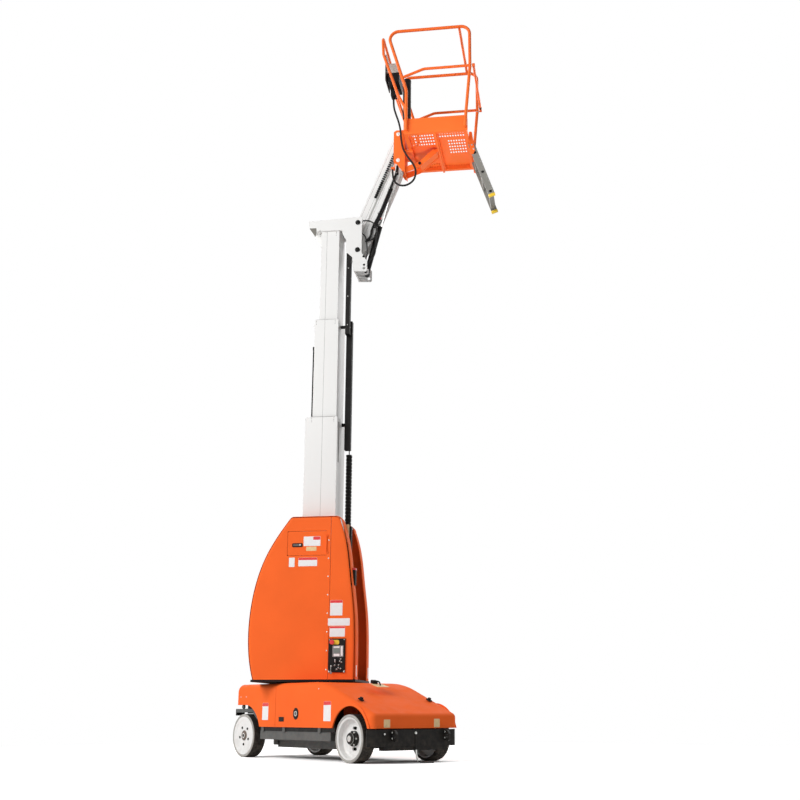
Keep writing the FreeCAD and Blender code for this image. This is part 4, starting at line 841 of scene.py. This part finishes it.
class LIFT_OT_mast_trim(bpy.types.Operator):
    """Add the mast's seams, screws, lips and lugs, a dark strip of painted shade for a slot, its chains'
    links and the trunks' screws
    """
    bl_idname = "mast_lift.mast_trim"
    bl_label = "Mast trim"

    STAGES = [
        # body, half width, seam along each side, foot, top
        ("stage_1", 174, -2, 1752, 3133),
        ("stage_2", 152, -8, 2752, 4133),
        ("stage_3", 130, -13, 3752, 5088),
    ]
    # How far seams and screws stand proud, so that the slide pads still clear them
    PROUD = 0.25
    SCREWS_BELOW_TOP = (12, 28, 44)

    # The leaf chain: its length, the foot of its inner strand, and where the outer strand hangs
    LEAF_LENGTH, LEAF_FOOT, OUTER_STRAND_X = 1060, (-118, 0, 2842), -151
    # The lower cable chain: links, their spacing, and the first one's place
    LINKS, LINK_PITCH, FIRST_LINK = 20, 34.5, (222, 34, 2128)
    FORWARD, NEAR = (1, 0, 0), (0, -1, 0)
    TRUNK_SCREWS = [
        # piece, body, rows of screws: count, spacing, lowest screw, the way the heads face
        ("head_trunk_screws", "stage_3",
         [(3, 300, (212, -128, 4080), NEAR), (4, 260, (234, -100, 4060), FORWARD)]),
        ("middle_trunk_screws", "stage_2", [(5, 280, (248, -30, 2900), FORWARD)]),
        ("base_trunk_screws", "turntable", [(4, 260, (248, 95, 1250), FORWARD)]),
    ]

    def execute(self, context):
        self.stages()
        self.lugs()
        self.leaf_chain(context.scene.lift_sizes.chain_pitch / MM)
        for name, body, rows in self.TRUNK_SCREWS:
            screws = Form(UPPER, "zinc")
            for count, pitch, start, direction in rows:
                item = Form()
                item.bolt((0, 0, 0), direction, across=8, tall=3.5)
                row = repeated("row", item, "zinc", Count=count, Start=start, Step=(0, 0, pitch))
                screws.take_mesh(row, 0)
            screws.done(name, body, "dark_steel")
        self.lower_chain()
        return {"FINISHED"}

    def stages(self):
        for body, half, seam_x, low, high in self.STAGES:
            trim = Form(UPPER, "seam")
            for side in (-1, 1):
                y = side * half
                trim.block(seam_x - 1, seam_x + 1, *outward(side, half, half + self.PROUD), low, high, 0, 0)
                for x in (-0.62 * half, 0.62 * half):
                    for z in self.SCREWS_BELOW_TOP:
                        trim.rod((x, y, high - z), (x, y + side * self.PROUD, high - z), 7, 0, sides=12)
                if body != "stage_3":
                    depths = outward(side, half - 21, half - 6)
                    trim.block(-half * 0.62, half * 0.68, *depths, high - 2, high + 7, 0, 1)
            trim.done(body + "_folds", body, "white_paint")

    def lugs(self):
        lower = Form(UPPER, "white_enamel", "seam")
        for side in (-1, 1):
            lower.block(-189, -169, *outward(side, 20, 60), 3103, 3132, 0, 2)
        # A dark strip on the first stage's front face: painted shade for the shadow inside a slot
        lower.block(143, 143 + self.PROUD, -120, -84, 2700, 3100, 1, 0)
        lower.done("stage_1_lugs", "stage_1", "white_paint")
        upper = Form(UPPER, "white_enamel")
        for y in (-52, 46):
            upper.board([(-106, 4126), (-152, 4118, 3), (-152, 4108, 3), (-106, 4079)], y, y + 6, 0)
        upper.done("stage_2_lugs", "stage_2", "white_paint")

    def leaf_chain(self, pitch):
        links = Form(UPPER, "black_steel", "zinc")
        half = pitch * 0.5
        inner, outer = Form(), Form()
        for i, y in enumerate((-13, -8, -3, 2, 7, 12)):
            shift = half * 0.5 if i % 2 else -half * 0.5
            inner.plate(-8, 8, shift - half, shift + half, 7, y - 1.6, y + 1.6, edge=0)
        for z in (-half * 0.5, half * 0.5):
            inner.rod((0, -15, z), (0, 15, z), 6, sides=10)
        for y, shift in ((-6, half * 0.5), (0, -half * 0.5), (6, half * 0.5)):
            outer.plate(-6, 6, shift - half, shift + half, 5, y - 1.6, y + 1.6, edge=0)
        outer.rod((0, -9, half * 0.5), (0, 9, half * 0.5), 6, sides=10)
        count = int(self.LEAF_LENGTH / pitch)
        for strand, x in ((inner, self.LEAF_FOOT[0]), (outer, self.OUTER_STRAND_X)):
            start, step = (x, *self.LEAF_FOOT[1:]), (0, 0, pitch)
            links.take_mesh(repeated("row", strand, "black_steel", Count=count, Start=start, Step=step), 0)
        links.block(-158, -108, -15, 15, 3872, 3906, 0, 2)
        links.rod((-116, -18, 3888), (-116, 18, 3888), 9, 1)
        links.done("leaf_chain_links", "stage_2", "iron", ["leaf_chain"])

    def lower_chain(self):
        chain = Form(UPPER, "black_plastic", "seam")
        item = Form()
        for low, high in ((-20, -16), (16, 20)):
            item.plate(-26, 26, -15, 15, 4, low, high, edge=0.8)
        item.block(-24, -21, -17, 17, -8, 8, edge=0.8)
        item.block(21, 24, -17, 17, -8, 8, edge=0.8)
        item.rod((0, -21.5, -14), (0, 21.5, -14), 9, sides=12)
        start, step = self.FIRST_LINK, (0, 0, self.LINK_PITCH)
        chain.take_mesh(repeated("row", item, "black_plastic", Count=self.LINKS, Start=start, Step=step), 0)
        for x, y, dia in ((214, 28, 12), (228, 40, 13)):
            chain.pipe([(x, y, z) for z in (2112, 2450, 2800)], dia, 1)
        chain.block(219, 225, 22, 46, 2785, 3115, 0, 1)
        chain.block(143, 225, 22, 46, 3085, 3115, 0, 1)
        chain.done("lower_chain_links", "stage_1", "black_plastic", ["lower_chain"])


class LIFT_OT_head_trim(bpy.types.Operator):
    """Add the head's pins, bolts and top plate, a dark plate of painted shade on the near gusset, and the
    caps on the jib's pins
    """
    bl_idname = "mast_lift.head_trim"
    bl_label = "Mast head trim"

    HEAD_TOP = 5209

    def execute(self, context):
        head = Form(UPPER, "black_steel", "white_enamel", "zinc", "shaded_web")
        for side in (-1, 1):
            for x, z in ((366, 4790), (372, 4700)):
                head.rod((x, side * HEAD_SIDE, z), (x, side * (HEAD_SIDE + 4), z), 22, 0)
        for y in (-60, 0, 60):
            head.bolt((278.4, y, 4712), (1, 0, 0), across=12, tall=6, use=2)
        head.block(-160, 60, -60, 60, self.HEAD_TOP - 5, self.HEAD_TOP, 1, 2)
        # A dark grey plate over the lit near side plate: painted shade where the gusset lies in shadow
        gusset_shade_patch = [(-196, 5128, 4), (-124, 5128, 2), (-121, 5088, 2), (-130, 5030, 4)]
        head.board(gusset_shade_patch, -HEAD_SIDE - 0.9, -HEAD_SIDE, 3, edge=0.2)
        for x, y in ((-140, -44), (-140, 44), (40, -44), (40, 44)):
            head.bolt((x, y, self.HEAD_TOP), (0, 0, 1), across=12, tall=6, use=2)
        head.done("head_hardware", "stage_3", "dark_steel")
        cap = [(0, 0), (22, 0), (25, 2), (25, 5), (20, 8), (0, 9)]
        for arm, place in (("upper", UPPER_ARM), ("lower", LOWER_ARM)):
            caps = Form(place, "black_steel", "zinc")
            for side in (-1, 1):
                caps.turned(cap, (0, side * (HEAD_SIDE + 0.4), 0), (0, side, 0), 0, 32)
                caps.bolt((0, side * (HEAD_SIDE + 9), 0), (0, side, 0), across=13, tall=5, use=0)
                caps.bolt((ARM_LENGTH, side * 102.4, 0), (0, side, 0), across=13, tall=7, use=1)
            caps.done(arm + "_pin_caps", arm + "_arm", "dark_steel")
        return {"FINISHED"}


class LIFT_OT_jib_trim(bpy.types.Operator):
    """Add the jib's comb of cable links, seams, clamps and clipped hoses"""
    bl_idname = "mast_lift.jib_trim"
    bl_label = "Jib trim"

    TEETH, TOOTH_PITCH, FIRST_TOOTH = 26, 24, 340
    ARM_START, ARM_END = 40, 1020
    CLAMPS = (460, 745, 930)

    # Clipped hoses along the lower arm, in its own place: diameter, then the points
    HOSES = [
        (24, [(1010, -76, -8), (985, -80, -22), (900, -79, -34), (700, -78, -37), (500, -79, -42),
              (360, -80, -36), (270, -82, -30), (205, -84, -52), (160, -82, -40), (128, -76, -22)]),
        (18, [(760, -74, -54), (700, -76, -58), (600, -77, -61), (500, -78, -63), (400, -78, -60),
              (335, -78, -52)]),
        (11, [(345, -80, -56), (300, -84, -66), (262, -90, -92), (220, -94, -104), (176, -92, -88),
              (150, -86, -52)]),
        (10, [(330, -74, -60), (286, -72, -84), (240, -70, -112), (196, -72, -114), (170, -74, -70),
              (140, -74, -34)]),
        (9, [(352, -70, -24), (396, -72, -64), (408, -72, -84), (372, -74, -92), (330, -74, -70),
             (300, -70, -40)]),
    ]

    def execute(self, context):
        comb = Form(UPPER_ARM, "black_plastic", "zinc")
        item = Form()
        item.block(-6.5, 6.5, -87, -71, -56, -27, edge=1.5)
        item.rod((0, -88.5, -41), (0, -70, -41), 7, sides=12)
        start, step = (self.FIRST_TOOTH, 0, 0), (self.TOOTH_PITCH, 0, 0)
        comb.take_mesh(repeated("row", item, "black_plastic", Count=self.TEETH, Start=start, Step=step), 0)
        comb.block(330, 960, -74, -72, -43, -39, 0, 0.5)
        comb.block(330, 520, -86, -72, -52, -31, 0, 2)
        for x in (360, 900):
            comb.block(x, x + 30, -82, -48, -40, -30, 0, 1)
            comb.bolt((x + 15, -72, -30), (0, 0, 1), across=11, tall=5, use=1)
        comb.done("comb_links", "upper_arm", "black_plastic", ["jib_chain"])
        folds = Form(UPPER_ARM, "seam")
        for side in (-1, 1):
            for z in (-26, 26):
                folds.block(self.ARM_START, self.ARM_END, *outward(side, 48, 48.5), z - 0.8, z + 0.8, 0, 0)
        folds.done("upper_arm_folds", "upper_arm", "white_paint")
        clamps = Form(LOWER_ARM, "zinc", "black_plastic", "hose", "seam", "plate_red")
        for x in self.CLAMPS:
            clamps.block(x - 9, x + 9, -92, -66, -52, -22, 1, 2)
            clamps.bolt((x, -92, -30), (0, -1, 0), across=10, tall=5)
        for dia, points in self.HOSES:
            clamps.pipe(points, dia, 2)
        clamps.block(322, 350, -90, -66, -74, -20, 1, 3)
        clamps.rod((418, -74, -58), (418, -74, -76), 15, 4)
        for side in (-1, 1):
            clamps.block(self.ARM_START, self.ARM_END, *outward(side, 66, 66.5), 24 - 0.8, 24 + 0.8, 3, 0)
        clamps.done("lower_arm_clamps", "lower_arm", "dark_steel")
        return {"FINISHED"}


class LIFT_OT_platform_floor(bpy.types.Operator):
    """Make the perforated floor sheet"""
    bl_idname = "mast_lift.platform_floor"
    bl_label = "Platform floor"

    PATCHES = [
        # columns, rows, first hole along the platform, first hole across it
        (10, 5, 869, -345),
        (10, 2, 869, 300),
        (10, 3, 1152, -365),
        (7, 5, 1229, -152),
        (10, 1, 1152, 358),
    ]
    SHEET_FOOT, SHEET_TOP = 6001, 6005

    def execute(self, context):
        sizes = context.scene.lift_sizes
        pitch, rows_apart = sizes.hole_pitch / MM, sizes.hole_rows / MM
        hole, long = sizes.hole_size / MM, sizes.hole_length / MM
        round_end = hole * 0.45
        punches = Form()
        for columns, rows, x, y in self.PATCHES:
            item = Form()
            low, high = self.SHEET_FOOT - 6, self.SHEET_TOP + 6
            item.plate(-hole / 2, hole / 2, -long / 2, long / 2, round_end, low, high,
                       plane="XY", edge=0, steps=3)
            wide, deep = (columns - 1) * pitch, (rows - 1) * rows_apart
            data = repeated("grid", item, "orange_steel", Count_X=columns, Count_Y=rows,
                            Size_X=wide, Size_Y=deep)
            punches.take_mesh(data, 0, Matrix.Translation((x + wide / 2, y + deep / 2, 0)))
        sheet = Form(UPPER, "orange_steel")
        blank = Form()
        blank.block(FLOOR_REAR, FLOOR_FRONT, -FLOOR_SIDE, FLOOR_SIDE, self.SHEET_FOOT, self.SHEET_TOP, edge=0)
        sheet.take_mesh(less(blank, punches), 0)
        sheet.done("perforated_floor", "platform", "orange_paint", ["platform_floor"])
        return {"FINISHED"}


class LIFT_OT_platform_trim(bpy.types.Operator):
    """Add the platform's bolts and edge strips, console, document tube, gate brackets and ladder fittings"""
    bl_idname = "mast_lift.platform_trim"
    bl_label = "Platform trim"

    TOE_BOLTS = [(826, 6110), (826, 6085), (832, 6010), (1424, 6118), (1424, 6075), (1424, 6040),
                 (1428, 5998)]
    KNEE_PIN_X, KNEE_PIN_Z = 921, 5813
    TUBE_X, TUBE_Y, TUBE_FOOT = 757, 110, 6440
    BAR_Z = 6678

    # The ladder hangs from its top pins and leans out to its feet; its own Z runs up along it
    LADDER_TOP, LADDER_FOOT = (1462, 5930), (1664, 5345)
    RUNGS, FIRST_RUNG, RUNG_PITCH, STILE = 3, -110, 230, 185

    def execute(self, context):
        self.steel()
        self.console()
        self.tube()
        self.gate()
        self.ladder()
        return {"FINISHED"}

    def steel(self):
        steel = Form(UPPER, "orange_steel", "zinc", "black_steel")
        for side in (-1, 1):
            for x, z in self.TOE_BOLTS:
                steel.bolt((x, side * (FLOOR_SIDE + 5), z), (0, side, 0), across=9, tall=4, use=2)
            steel.block(FLOOR_REAR, FLOOR_FRONT, *outward(side, FLOOR_SIDE, FLOOR_SIDE + 5), 5964, 5971, 0, 1)
        x, z = self.KNEE_PIN_X, self.KNEE_PIN_Z
        for y, side in ((-84, -1), (78, 1)):
            steel.rod((x, y - 4, z), (x, y + 4, z), 30, 2)
            steel.bolt((x, y + side * 4, z), (0, side, 0), across=13, tall=5, use=2)
        steel.block(1108, 1128, -FLOOR_SIDE, FLOOR_SIDE, 5946, 5965, 0, 1.5)
        for z in (5730, 5770):
            steel.bolt((764, -80, z), (-1, 0, 0), across=12, tall=6, use=1)
        steel.done("platform_steel", "platform", "orange_paint")

    @staticmethod
    def console():
        box = Form(UPPER, "console_grey", "black_plastic", "plate_red", "zinc", "panel_grey", "frame_grey")
        case = [(605, 6743, 4), (736, 6743, 4), (736, 6822, 10), (712, 6851, 12), (605, 6851, 10)]
        box.board(case, -301, -39, 0, edge=3)
        box.board([(622, 6639, 6), (735, 6639, 6), (737, 6745, 4), (608, 6745, 4)], -298, -42, 1, edge=2)
        box.plate(630, 712, 6557, 6641, 4, -175, -95, 1, edge=2)
        box.rod((655, -135, 6538), (655, -135, 6560), 31, 1)
        stick = [(16, 0), (16, 8), (11, 12), (9, 24), (13, 30), (14, 40), (9, 46), (0, 47)]
        stop = [(14, 0), (14, 8), (18, 10), (18, 18), (14, 22), (0, 23)]
        box.turned(stick, (668, -220, 6849), (0, 0, 1), 1, 28)
        box.turned(stop, (650, -90, 6849), (0, 0, 1), 2, 28)
        box.plate(628, 660, -200, -120, 4, 6849.5, 6853, 4, plane="XY")
        for y in (-190, -170, -150, -130):
            box.rod((640, y, 6852), (640, y, 6859), 9, 3, sides=14)
        for x, z in ((618, 6756), (618, 6836), (724, 6756), (724, 6812)):
            box.rod((x, -302, z), (x, -304.5, z), 9, 3, sides=14)
        back = [(-325, 6650, 20), (-62, 6650, 20), (-62, 6960, 30), (-325, 6960, 30)]
        box.board(back, 597, 604, 5, plane="YZ")
        box.done("console_case", "platform", "grey_plastic", ["console"])

    def tube(self):
        tube = Form(UPPER, "black_plastic")
        body = [(0, 0), (40, 0), (43, 3), (43, 455), (41, 462), (0, 465)]
        ring = [(43, 0), (44.2, 1), (44.2, 15), (43, 16)]
        lid = [(43, 0), (44.6, 2), (44.6, 30), (42, 34)]
        for outline, rise in ((body, 0), (ring, 36), (ring, 200), (ring, 360), (lid, 428)):
            tube.turned(outline, (self.TUBE_X, self.TUBE_Y, self.TUBE_FOOT + rise), (0, 0, 1), 0, 48)
        tube.done("document_case", "platform", "black_plastic", ["document_tube"])

    def gate(self):
        gate = Form(UPPER, "zinc")
        gate.rod((1491, -421, self.BAR_Z), (1500.5, -421, self.BAR_Z), 20, 0)
        gate.rod((1480, -421, self.BAR_Z - 14), (1480, -421, self.BAR_Z + 14), 24, 0)
        gate.block(1470, 1496, 404, 438, self.BAR_Z - 28, self.BAR_Z - 22, 0, 1)
        gate.done("gate_brackets", "platform", "dark_steel")
        end = Form(UPPER, "black_plastic")
        grip = [(12.6, -14), (14.5, -13), (14.5, 13), (12.6, 14)]
        end.turned(grip, (1514, 380, self.BAR_Z), (0, 1, 0), 0, 28)
        end.done("gate_grip", "entry_bar", "black_plastic")

    def ladder(self):
        (top_x, top_z), (foot_x, foot_z) = self.LADDER_TOP, self.LADDER_FOOT
        lean = Matrix.Rotation(-math.atan2(foot_x - top_x, top_z - foot_z), 4, "Y")
        place = UPPER @ Matrix.Translation((top_x, 0, top_z)) @ lean
        ladder = Form(place, "yellow", "zinc", "aluminium", "black_plastic")
        rungs = [self.FIRST_RUNG - i * self.RUNG_PITCH for i in range(self.RUNGS)]
        for side in (-1, 1):
            for z in rungs:
                ladder.plate(-15, 15, z - 12, z + 12, 11, *outward(side, 198, 199.6), 3)
            ladder.block(-34, 34, *outward(side, self.STILE - 15, self.STILE + 15), -622, -596, 0, 3)
            for z in (-20, -70):
                ladder.bolt((0, side * 206, z), (0, side, 0), across=14, tall=6, use=1)
            item = Form()
            item.turned([(3.2, 0), (3.2, 1), (0, 1.4)], (0, 0, 0), (0, side, 0), 0, 10)
            data = repeated("row", item, "zinc", Count=9, Start=(22, side * 198, -180), Step=(0, 0, -46))
            ladder.take_mesh(data, 1)
        for z in rungs[:2]:
            item = Form()
            item.block(-24.6, 24.6, -3, 3, z + 11.5, z + 13, edge=0.4)
            data = repeated("row", item, "aluminium", Count=16, Start=(0, -158, 0), Step=(0, 21, 0))
            ladder.take_mesh(data, 2)
        ladder.done("ladder_fittings", "platform", "ladder_aluminium")


class LIFT_OT_cords(bpy.types.Operator):
    """Make the mast head's two hoses, the control cable below the console and the earth strap"""
    bl_idname = "mast_lift.cords"
    bl_label = "Hoses, cable and strap"

    # Routes in the upper works: the CAD model's own for two of them
    INNER_HOSE = [(338, -106, 5060), (366, -106, 5040), (384, -106, 4990), (392, -108, 4925),
                  (398, -110, 4860), (392, -112, 4795), (366, -112, 4750), (338, -110, 4740)]
    HEAD_HOSE = [(290, -100, 4700), (350, -100, 4700), (405, -102, 4730), (448, -105, 4795),
                 (472, -109, 4875), (484, -113, 4960), (487, -116, 5040), (487, -118, 5111),
                 (458, -119, 5161), (408, -119, 5190), (350, -119, 5190)]
    JIB_CABLE = [(655, -135, 6537), (655, -135, 6450), (680, -135, 6360), (712, -135, 6265),
                 (732, -135, 6160), (738, -135, 6050), (760, -136, 5945), (812, -138, 5850),
                 (868, -140, 5772), (896, -141, 5688), (872, -140, 5588), (784, -137, 5536),
                 (690, -133, 5562), (650, -130, 5650), (650, -130, 5735)]

    # A route in the chassis: down from the bumper and along the floor
    EARTH_STRAP = [(1405, -14, 126), (1406, -14, 104), (1407, -12, 74), (1409, -7, 44), (1412, 2, 20),
                   (1416, 18, 8.5), (1423, 50, 6), (1432, 96, 5.6), (1440, 142, 5.6)]

    def execute(self, context):
        bell = Form(UPPER, "black_plastic")
        outline = [(12, 0), (18, 6), (21, 22), (21, 44), (19, 66), (14, 84), (11, 92)]
        bell.turned(outline, (449, -110.5, 4797), (26, -3, 84), 0, 32)
        sleeve = bell.done("hose_sleeve", "stage_3", "black_plastic")
        self.cord("head_hose_run", self.HEAD_HOSE, 0.014, "stage_3", ["head_hose"], [sleeve])
        self.cord("inner_hose_run", self.INNER_HOSE, 0.012, "stage_3")
        self.cord("jib_cable_run", self.JIB_CABLE, 0.020, "platform", ["jib_cable"], stiffness="limp")
        braid = Form(CHASSIS, "zinc")
        braid.pipe(self.EARTH_STRAP[1:5], 15, 0)
        braid = braid.done("strap_braid", "chassis", "dark_steel")
        self.cord("earth_strap", self.EARTH_STRAP, 0.010, "chassis", (), [braid], CHASSIS,
                  "bare", "limp", "loose")
        return {"FINISHED"}

    @staticmethod
    def cord(name, route, dia, body, replaced=(), pieces=(), place=UPPER, far_end="object",
             stiffness="medium", lay="hanging"):
        data = bpy.data.curves.new(name, "CURVE")
        data.dimensions = "3D"
        data.resolution_u = 8
        spline = data.splines.new("NURBS")
        spline.points.add(len(route) - 1)
        for point, spot in zip(spline.points, route):
            point.co = (*(place @ Vector(spot)), 1)
        spline.order_u = 3
        spline.use_endpoint_u = True
        thing = bpy.data.objects.new(name, data)
        bpy.context.scene.collection.objects.link(thing)
        line = bpy.data.meshes.new_from_object(thing)
        ends = ([line.vertices[i].co for i in edge.vertices] for edge in line.edges)
        length = sum((first - last).length for first, last in ends)
        bpy.data.meshes.remove(line)
        data.bevel_depth = dia / 2
        data.bevel_resolution = 4
        data.use_fill_caps = True
        data.materials.append(FINISHES["hose"])
        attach(thing, body)
        if replaced:
            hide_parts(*replaced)


class LIFT_OT_studio(bpy.types.Operator):
    """Set up the floor, the lamps, the white surround and the camera"""
    bl_idname = "mast_lift.studio"
    bl_label = "Studio"

    # The camera, in metres and degrees, and its lens, in millimetres and shares of the picture
    CAMERA_PLACE, CAMERA_HEADING, CAMERA_PITCH = (8.047, -6.065, 0.396), 140.27, 14.97
    LENS, SENSOR, SHIFT_X, SHIFT_Y = 48.37, 36, -0.033, 0.031

    LAMPS = [
        # name, azimuth, elevation, share of the lamp power
        ("key_lamp", -90, 26, 1.08),
        ("far_lamp", 88, 34, 0.5),
        ("tail_lamp", 172, 30, 0.4),
    ]
    LAMP_AIM, LAMP_DISTANCE, LAMP_SIZE = (0, 0, 2.6), 11, 6.5

    # A spot from below, for the platform's underside
    SPOT_PLACE, SPOT_AIM, SPOT_DEGREES, SPOT_SHARE = (3.6, -2.2, 0.15), (0.56, 0.5, 6.05), 15, 1.3

    # Where the floor starts to fade into the surround, and where it has, from the middle
    FADE_START, FADE_END = 2.4, 5.5

    def execute(self, context):
        scene = context.scene
        scene.view_settings.view_transform = "Standard"
        self.camera(scene)
        self.floor(scene)
        self.surround(scene)
        self.lamps(scene, scene.lift_sizes.lamp_power)
        return {"FINISHED"}

    def camera(self, scene):
        heading, pitch = math.radians(self.CAMERA_HEADING), math.radians(self.CAMERA_PITCH)
        level = math.cos(pitch)
        aim = Vector((math.cos(heading) * level, math.sin(heading) * level, math.sin(pitch)))
        lens = bpy.data.cameras.new("camera")
        lens.lens = self.LENS
        lens.sensor_width = self.SENSOR
        lens.shift_x = self.SHIFT_X
        lens.shift_y = self.SHIFT_Y
        lens.clip_end = 200
        camera = bpy.data.objects.new("camera", lens)
        camera.location = self.CAMERA_PLACE
        camera.rotation_euler = aim.to_track_quat("-Z", "Y").to_euler()
        scene.collection.objects.link(camera)
        scene.camera = camera

    def lamps(self, scene, lamp_power):
        middle = Vector(self.LAMP_AIM)
        for name, azimuth, elevation, share in self.LAMPS:
            light = bpy.data.lights.new(name, "AREA")
            light.size = self.LAMP_SIZE
            light.energy = lamp_power * share
            a, e = math.radians(azimuth), math.radians(elevation)
            level = math.cos(e)
            out = Vector((math.cos(a) * level, math.sin(a) * level, math.sin(e)))
            self.hang(scene, light, middle + out * self.LAMP_DISTANCE, middle)
        light = bpy.data.lights.new("platform_lamp", "SPOT")
        light.energy = lamp_power * self.SPOT_SHARE
        light.spot_size = math.radians(self.SPOT_DEGREES)
        light.spot_blend = 1
        light.shadow_soft_size = 0.4
        spot = self.hang(scene, light, Vector(self.SPOT_PLACE), Vector(self.SPOT_AIM))
        spot.visible_camera = False

    @staticmethod
    def hang(scene, light, place, aim):
        lamp = bpy.data.objects.new(light.name, light)
        lamp.location = place
        lamp.rotation_euler = (aim - lamp.location).to_track_quat("-Z", "Y").to_euler()
        scene.collection.objects.link(lamp)
        return lamp

    @staticmethod
    def seen(tree):
        """One where the camera, a reflection or glass looks, nought for the light that falls on the lift."""
        path = tree.nodes.new("ShaderNodeLightPath")
        total = path.outputs["Is Camera Ray"]
        for name in ("Is Glossy Ray", "Is Transmission Ray"):
            add = tree.nodes.new("ShaderNodeMath")
            add.operation = "MAXIMUM"
            tree.links.new(total, add.inputs[0])
            tree.links.new(path.outputs[name], add.inputs[1])
            total = add.outputs[0]
        return total

    def floor(self, scene):
        """A pale floor that the camera sees as white, with a shadow, and that fades into the surround."""
        data = bpy.data.meshes.new("studio_floor")
        data.from_pydata([(-60, -60, 0), (60, -60, 0), (60, 60, 0), (-60, 60, 0)], [], [(0, 1, 2, 3)])
        material = bpy.data.materials.new("studio_floor")
        material.use_nodes = True
        tree = material.node_tree
        tree.nodes.remove(tree.nodes["Principled BSDF"])
        kinds = ("ShaderNodeBsdfDiffuse", "ShaderNodeBsdfDiffuse", "ShaderNodeEmission")
        matt, shown, glow = (tree.nodes.new(kind) for kind in kinds)
        matt.inputs["Color"].default_value = (0.8, 0.8, 0.8, 1)
        shown.inputs["Color"].default_value = (1.75, 1.75, 1.75, 1)
        length = tree.nodes.new("ShaderNodeVectorMath")
        length.operation = "LENGTH"
        tree.links.new(tree.nodes.new("ShaderNodeTexCoord").outputs["Object"], length.inputs[0])
        away = ranged(tree, length.outputs["Value"], self.FADE_START, self.FADE_END, 0, 1)
        white = self.mixed(tree, away, shown.outputs[0], glow.outputs[0])
        shader = self.mixed(tree, self.seen(tree), matt.outputs[0], white)
        tree.links.new(shader, tree.nodes["Material Output"].inputs["Surface"])
        data.materials.append(material)
        floor = bpy.data.objects.new("studio_floor", data)
        scene.collection.objects.link(floor)

    @staticmethod
    def mixed(tree, factor, first, second):
        mix = tree.nodes.new("ShaderNodeMixShader")
        tree.links.new(factor, mix.inputs["Fac"])
        tree.links.new(first, mix.inputs[1])
        tree.links.new(second, mix.inputs[2])
        return mix.outputs[0]

    def surround(self, scene):
        world = bpy.data.worlds.new("surround")
        world.use_nodes = True
        scene.world = world
        tree = world.node_tree
        background = tree.nodes["Background"]
        background.inputs["Color"].default_value = (1, 1, 1, 1)
        strength = ranged(tree, self.seen(tree), 0, 1, 0.3, 1)
        tree.links.new(strength, background.inputs["Strength"])


class LIFT_PT_dressing(bpy.types.Panel):
    """Sizes, colours and steps of the mast lift's dressing"""
    bl_idname = "LIFT_PT_dressing"
    bl_label = "Mast Lift"
    bl_space_type = "VIEW_3D"
    bl_region_type = "UI"
    bl_category = "Mast Lift"

    def draw(self, context):
        layout = self.layout
        for group in (context.scene.lift_colours, context.scene.lift_sizes):
            box = layout.box()
            for name in group.__annotations__:
                box.prop(group, name)
        for step in STEPS:
            layout.operator(step.bl_idname)


STEPS = (LIFT_OT_finishes, LIFT_OT_studio, LIFT_OT_tyres, LIFT_OT_wheel_bolts, LIFT_OT_chassis_trim,
         LIFT_OT_tower_trim, LIFT_OT_mast_trim, LIFT_OT_head_trim, LIFT_OT_jib_trim, LIFT_OT_platform_floor,
         LIFT_OT_platform_trim, LIFT_OT_cords)
CLASSES = (LiftColours, LiftSizes) + STEPS + (LIFT_PT_dressing,)


def register():
    for item in CLASSES:
        bpy.utils.register_class(item)
    bpy.types.Scene.lift_colours = PointerProperty(type=LiftColours)
    bpy.types.Scene.lift_sizes = PointerProperty(type=LiftSizes)


def unregister():
    del bpy.types.Scene.lift_sizes
    del bpy.types.Scene.lift_colours
    for item in reversed(CLASSES):
        bpy.utils.unregister_class(item)


def main():
    register()
    for step in STEPS:
        group, name = step.bl_idname.split(".")
        getattr(getattr(bpy.ops, group), name)()


if __name__ == "__main__":
    main()
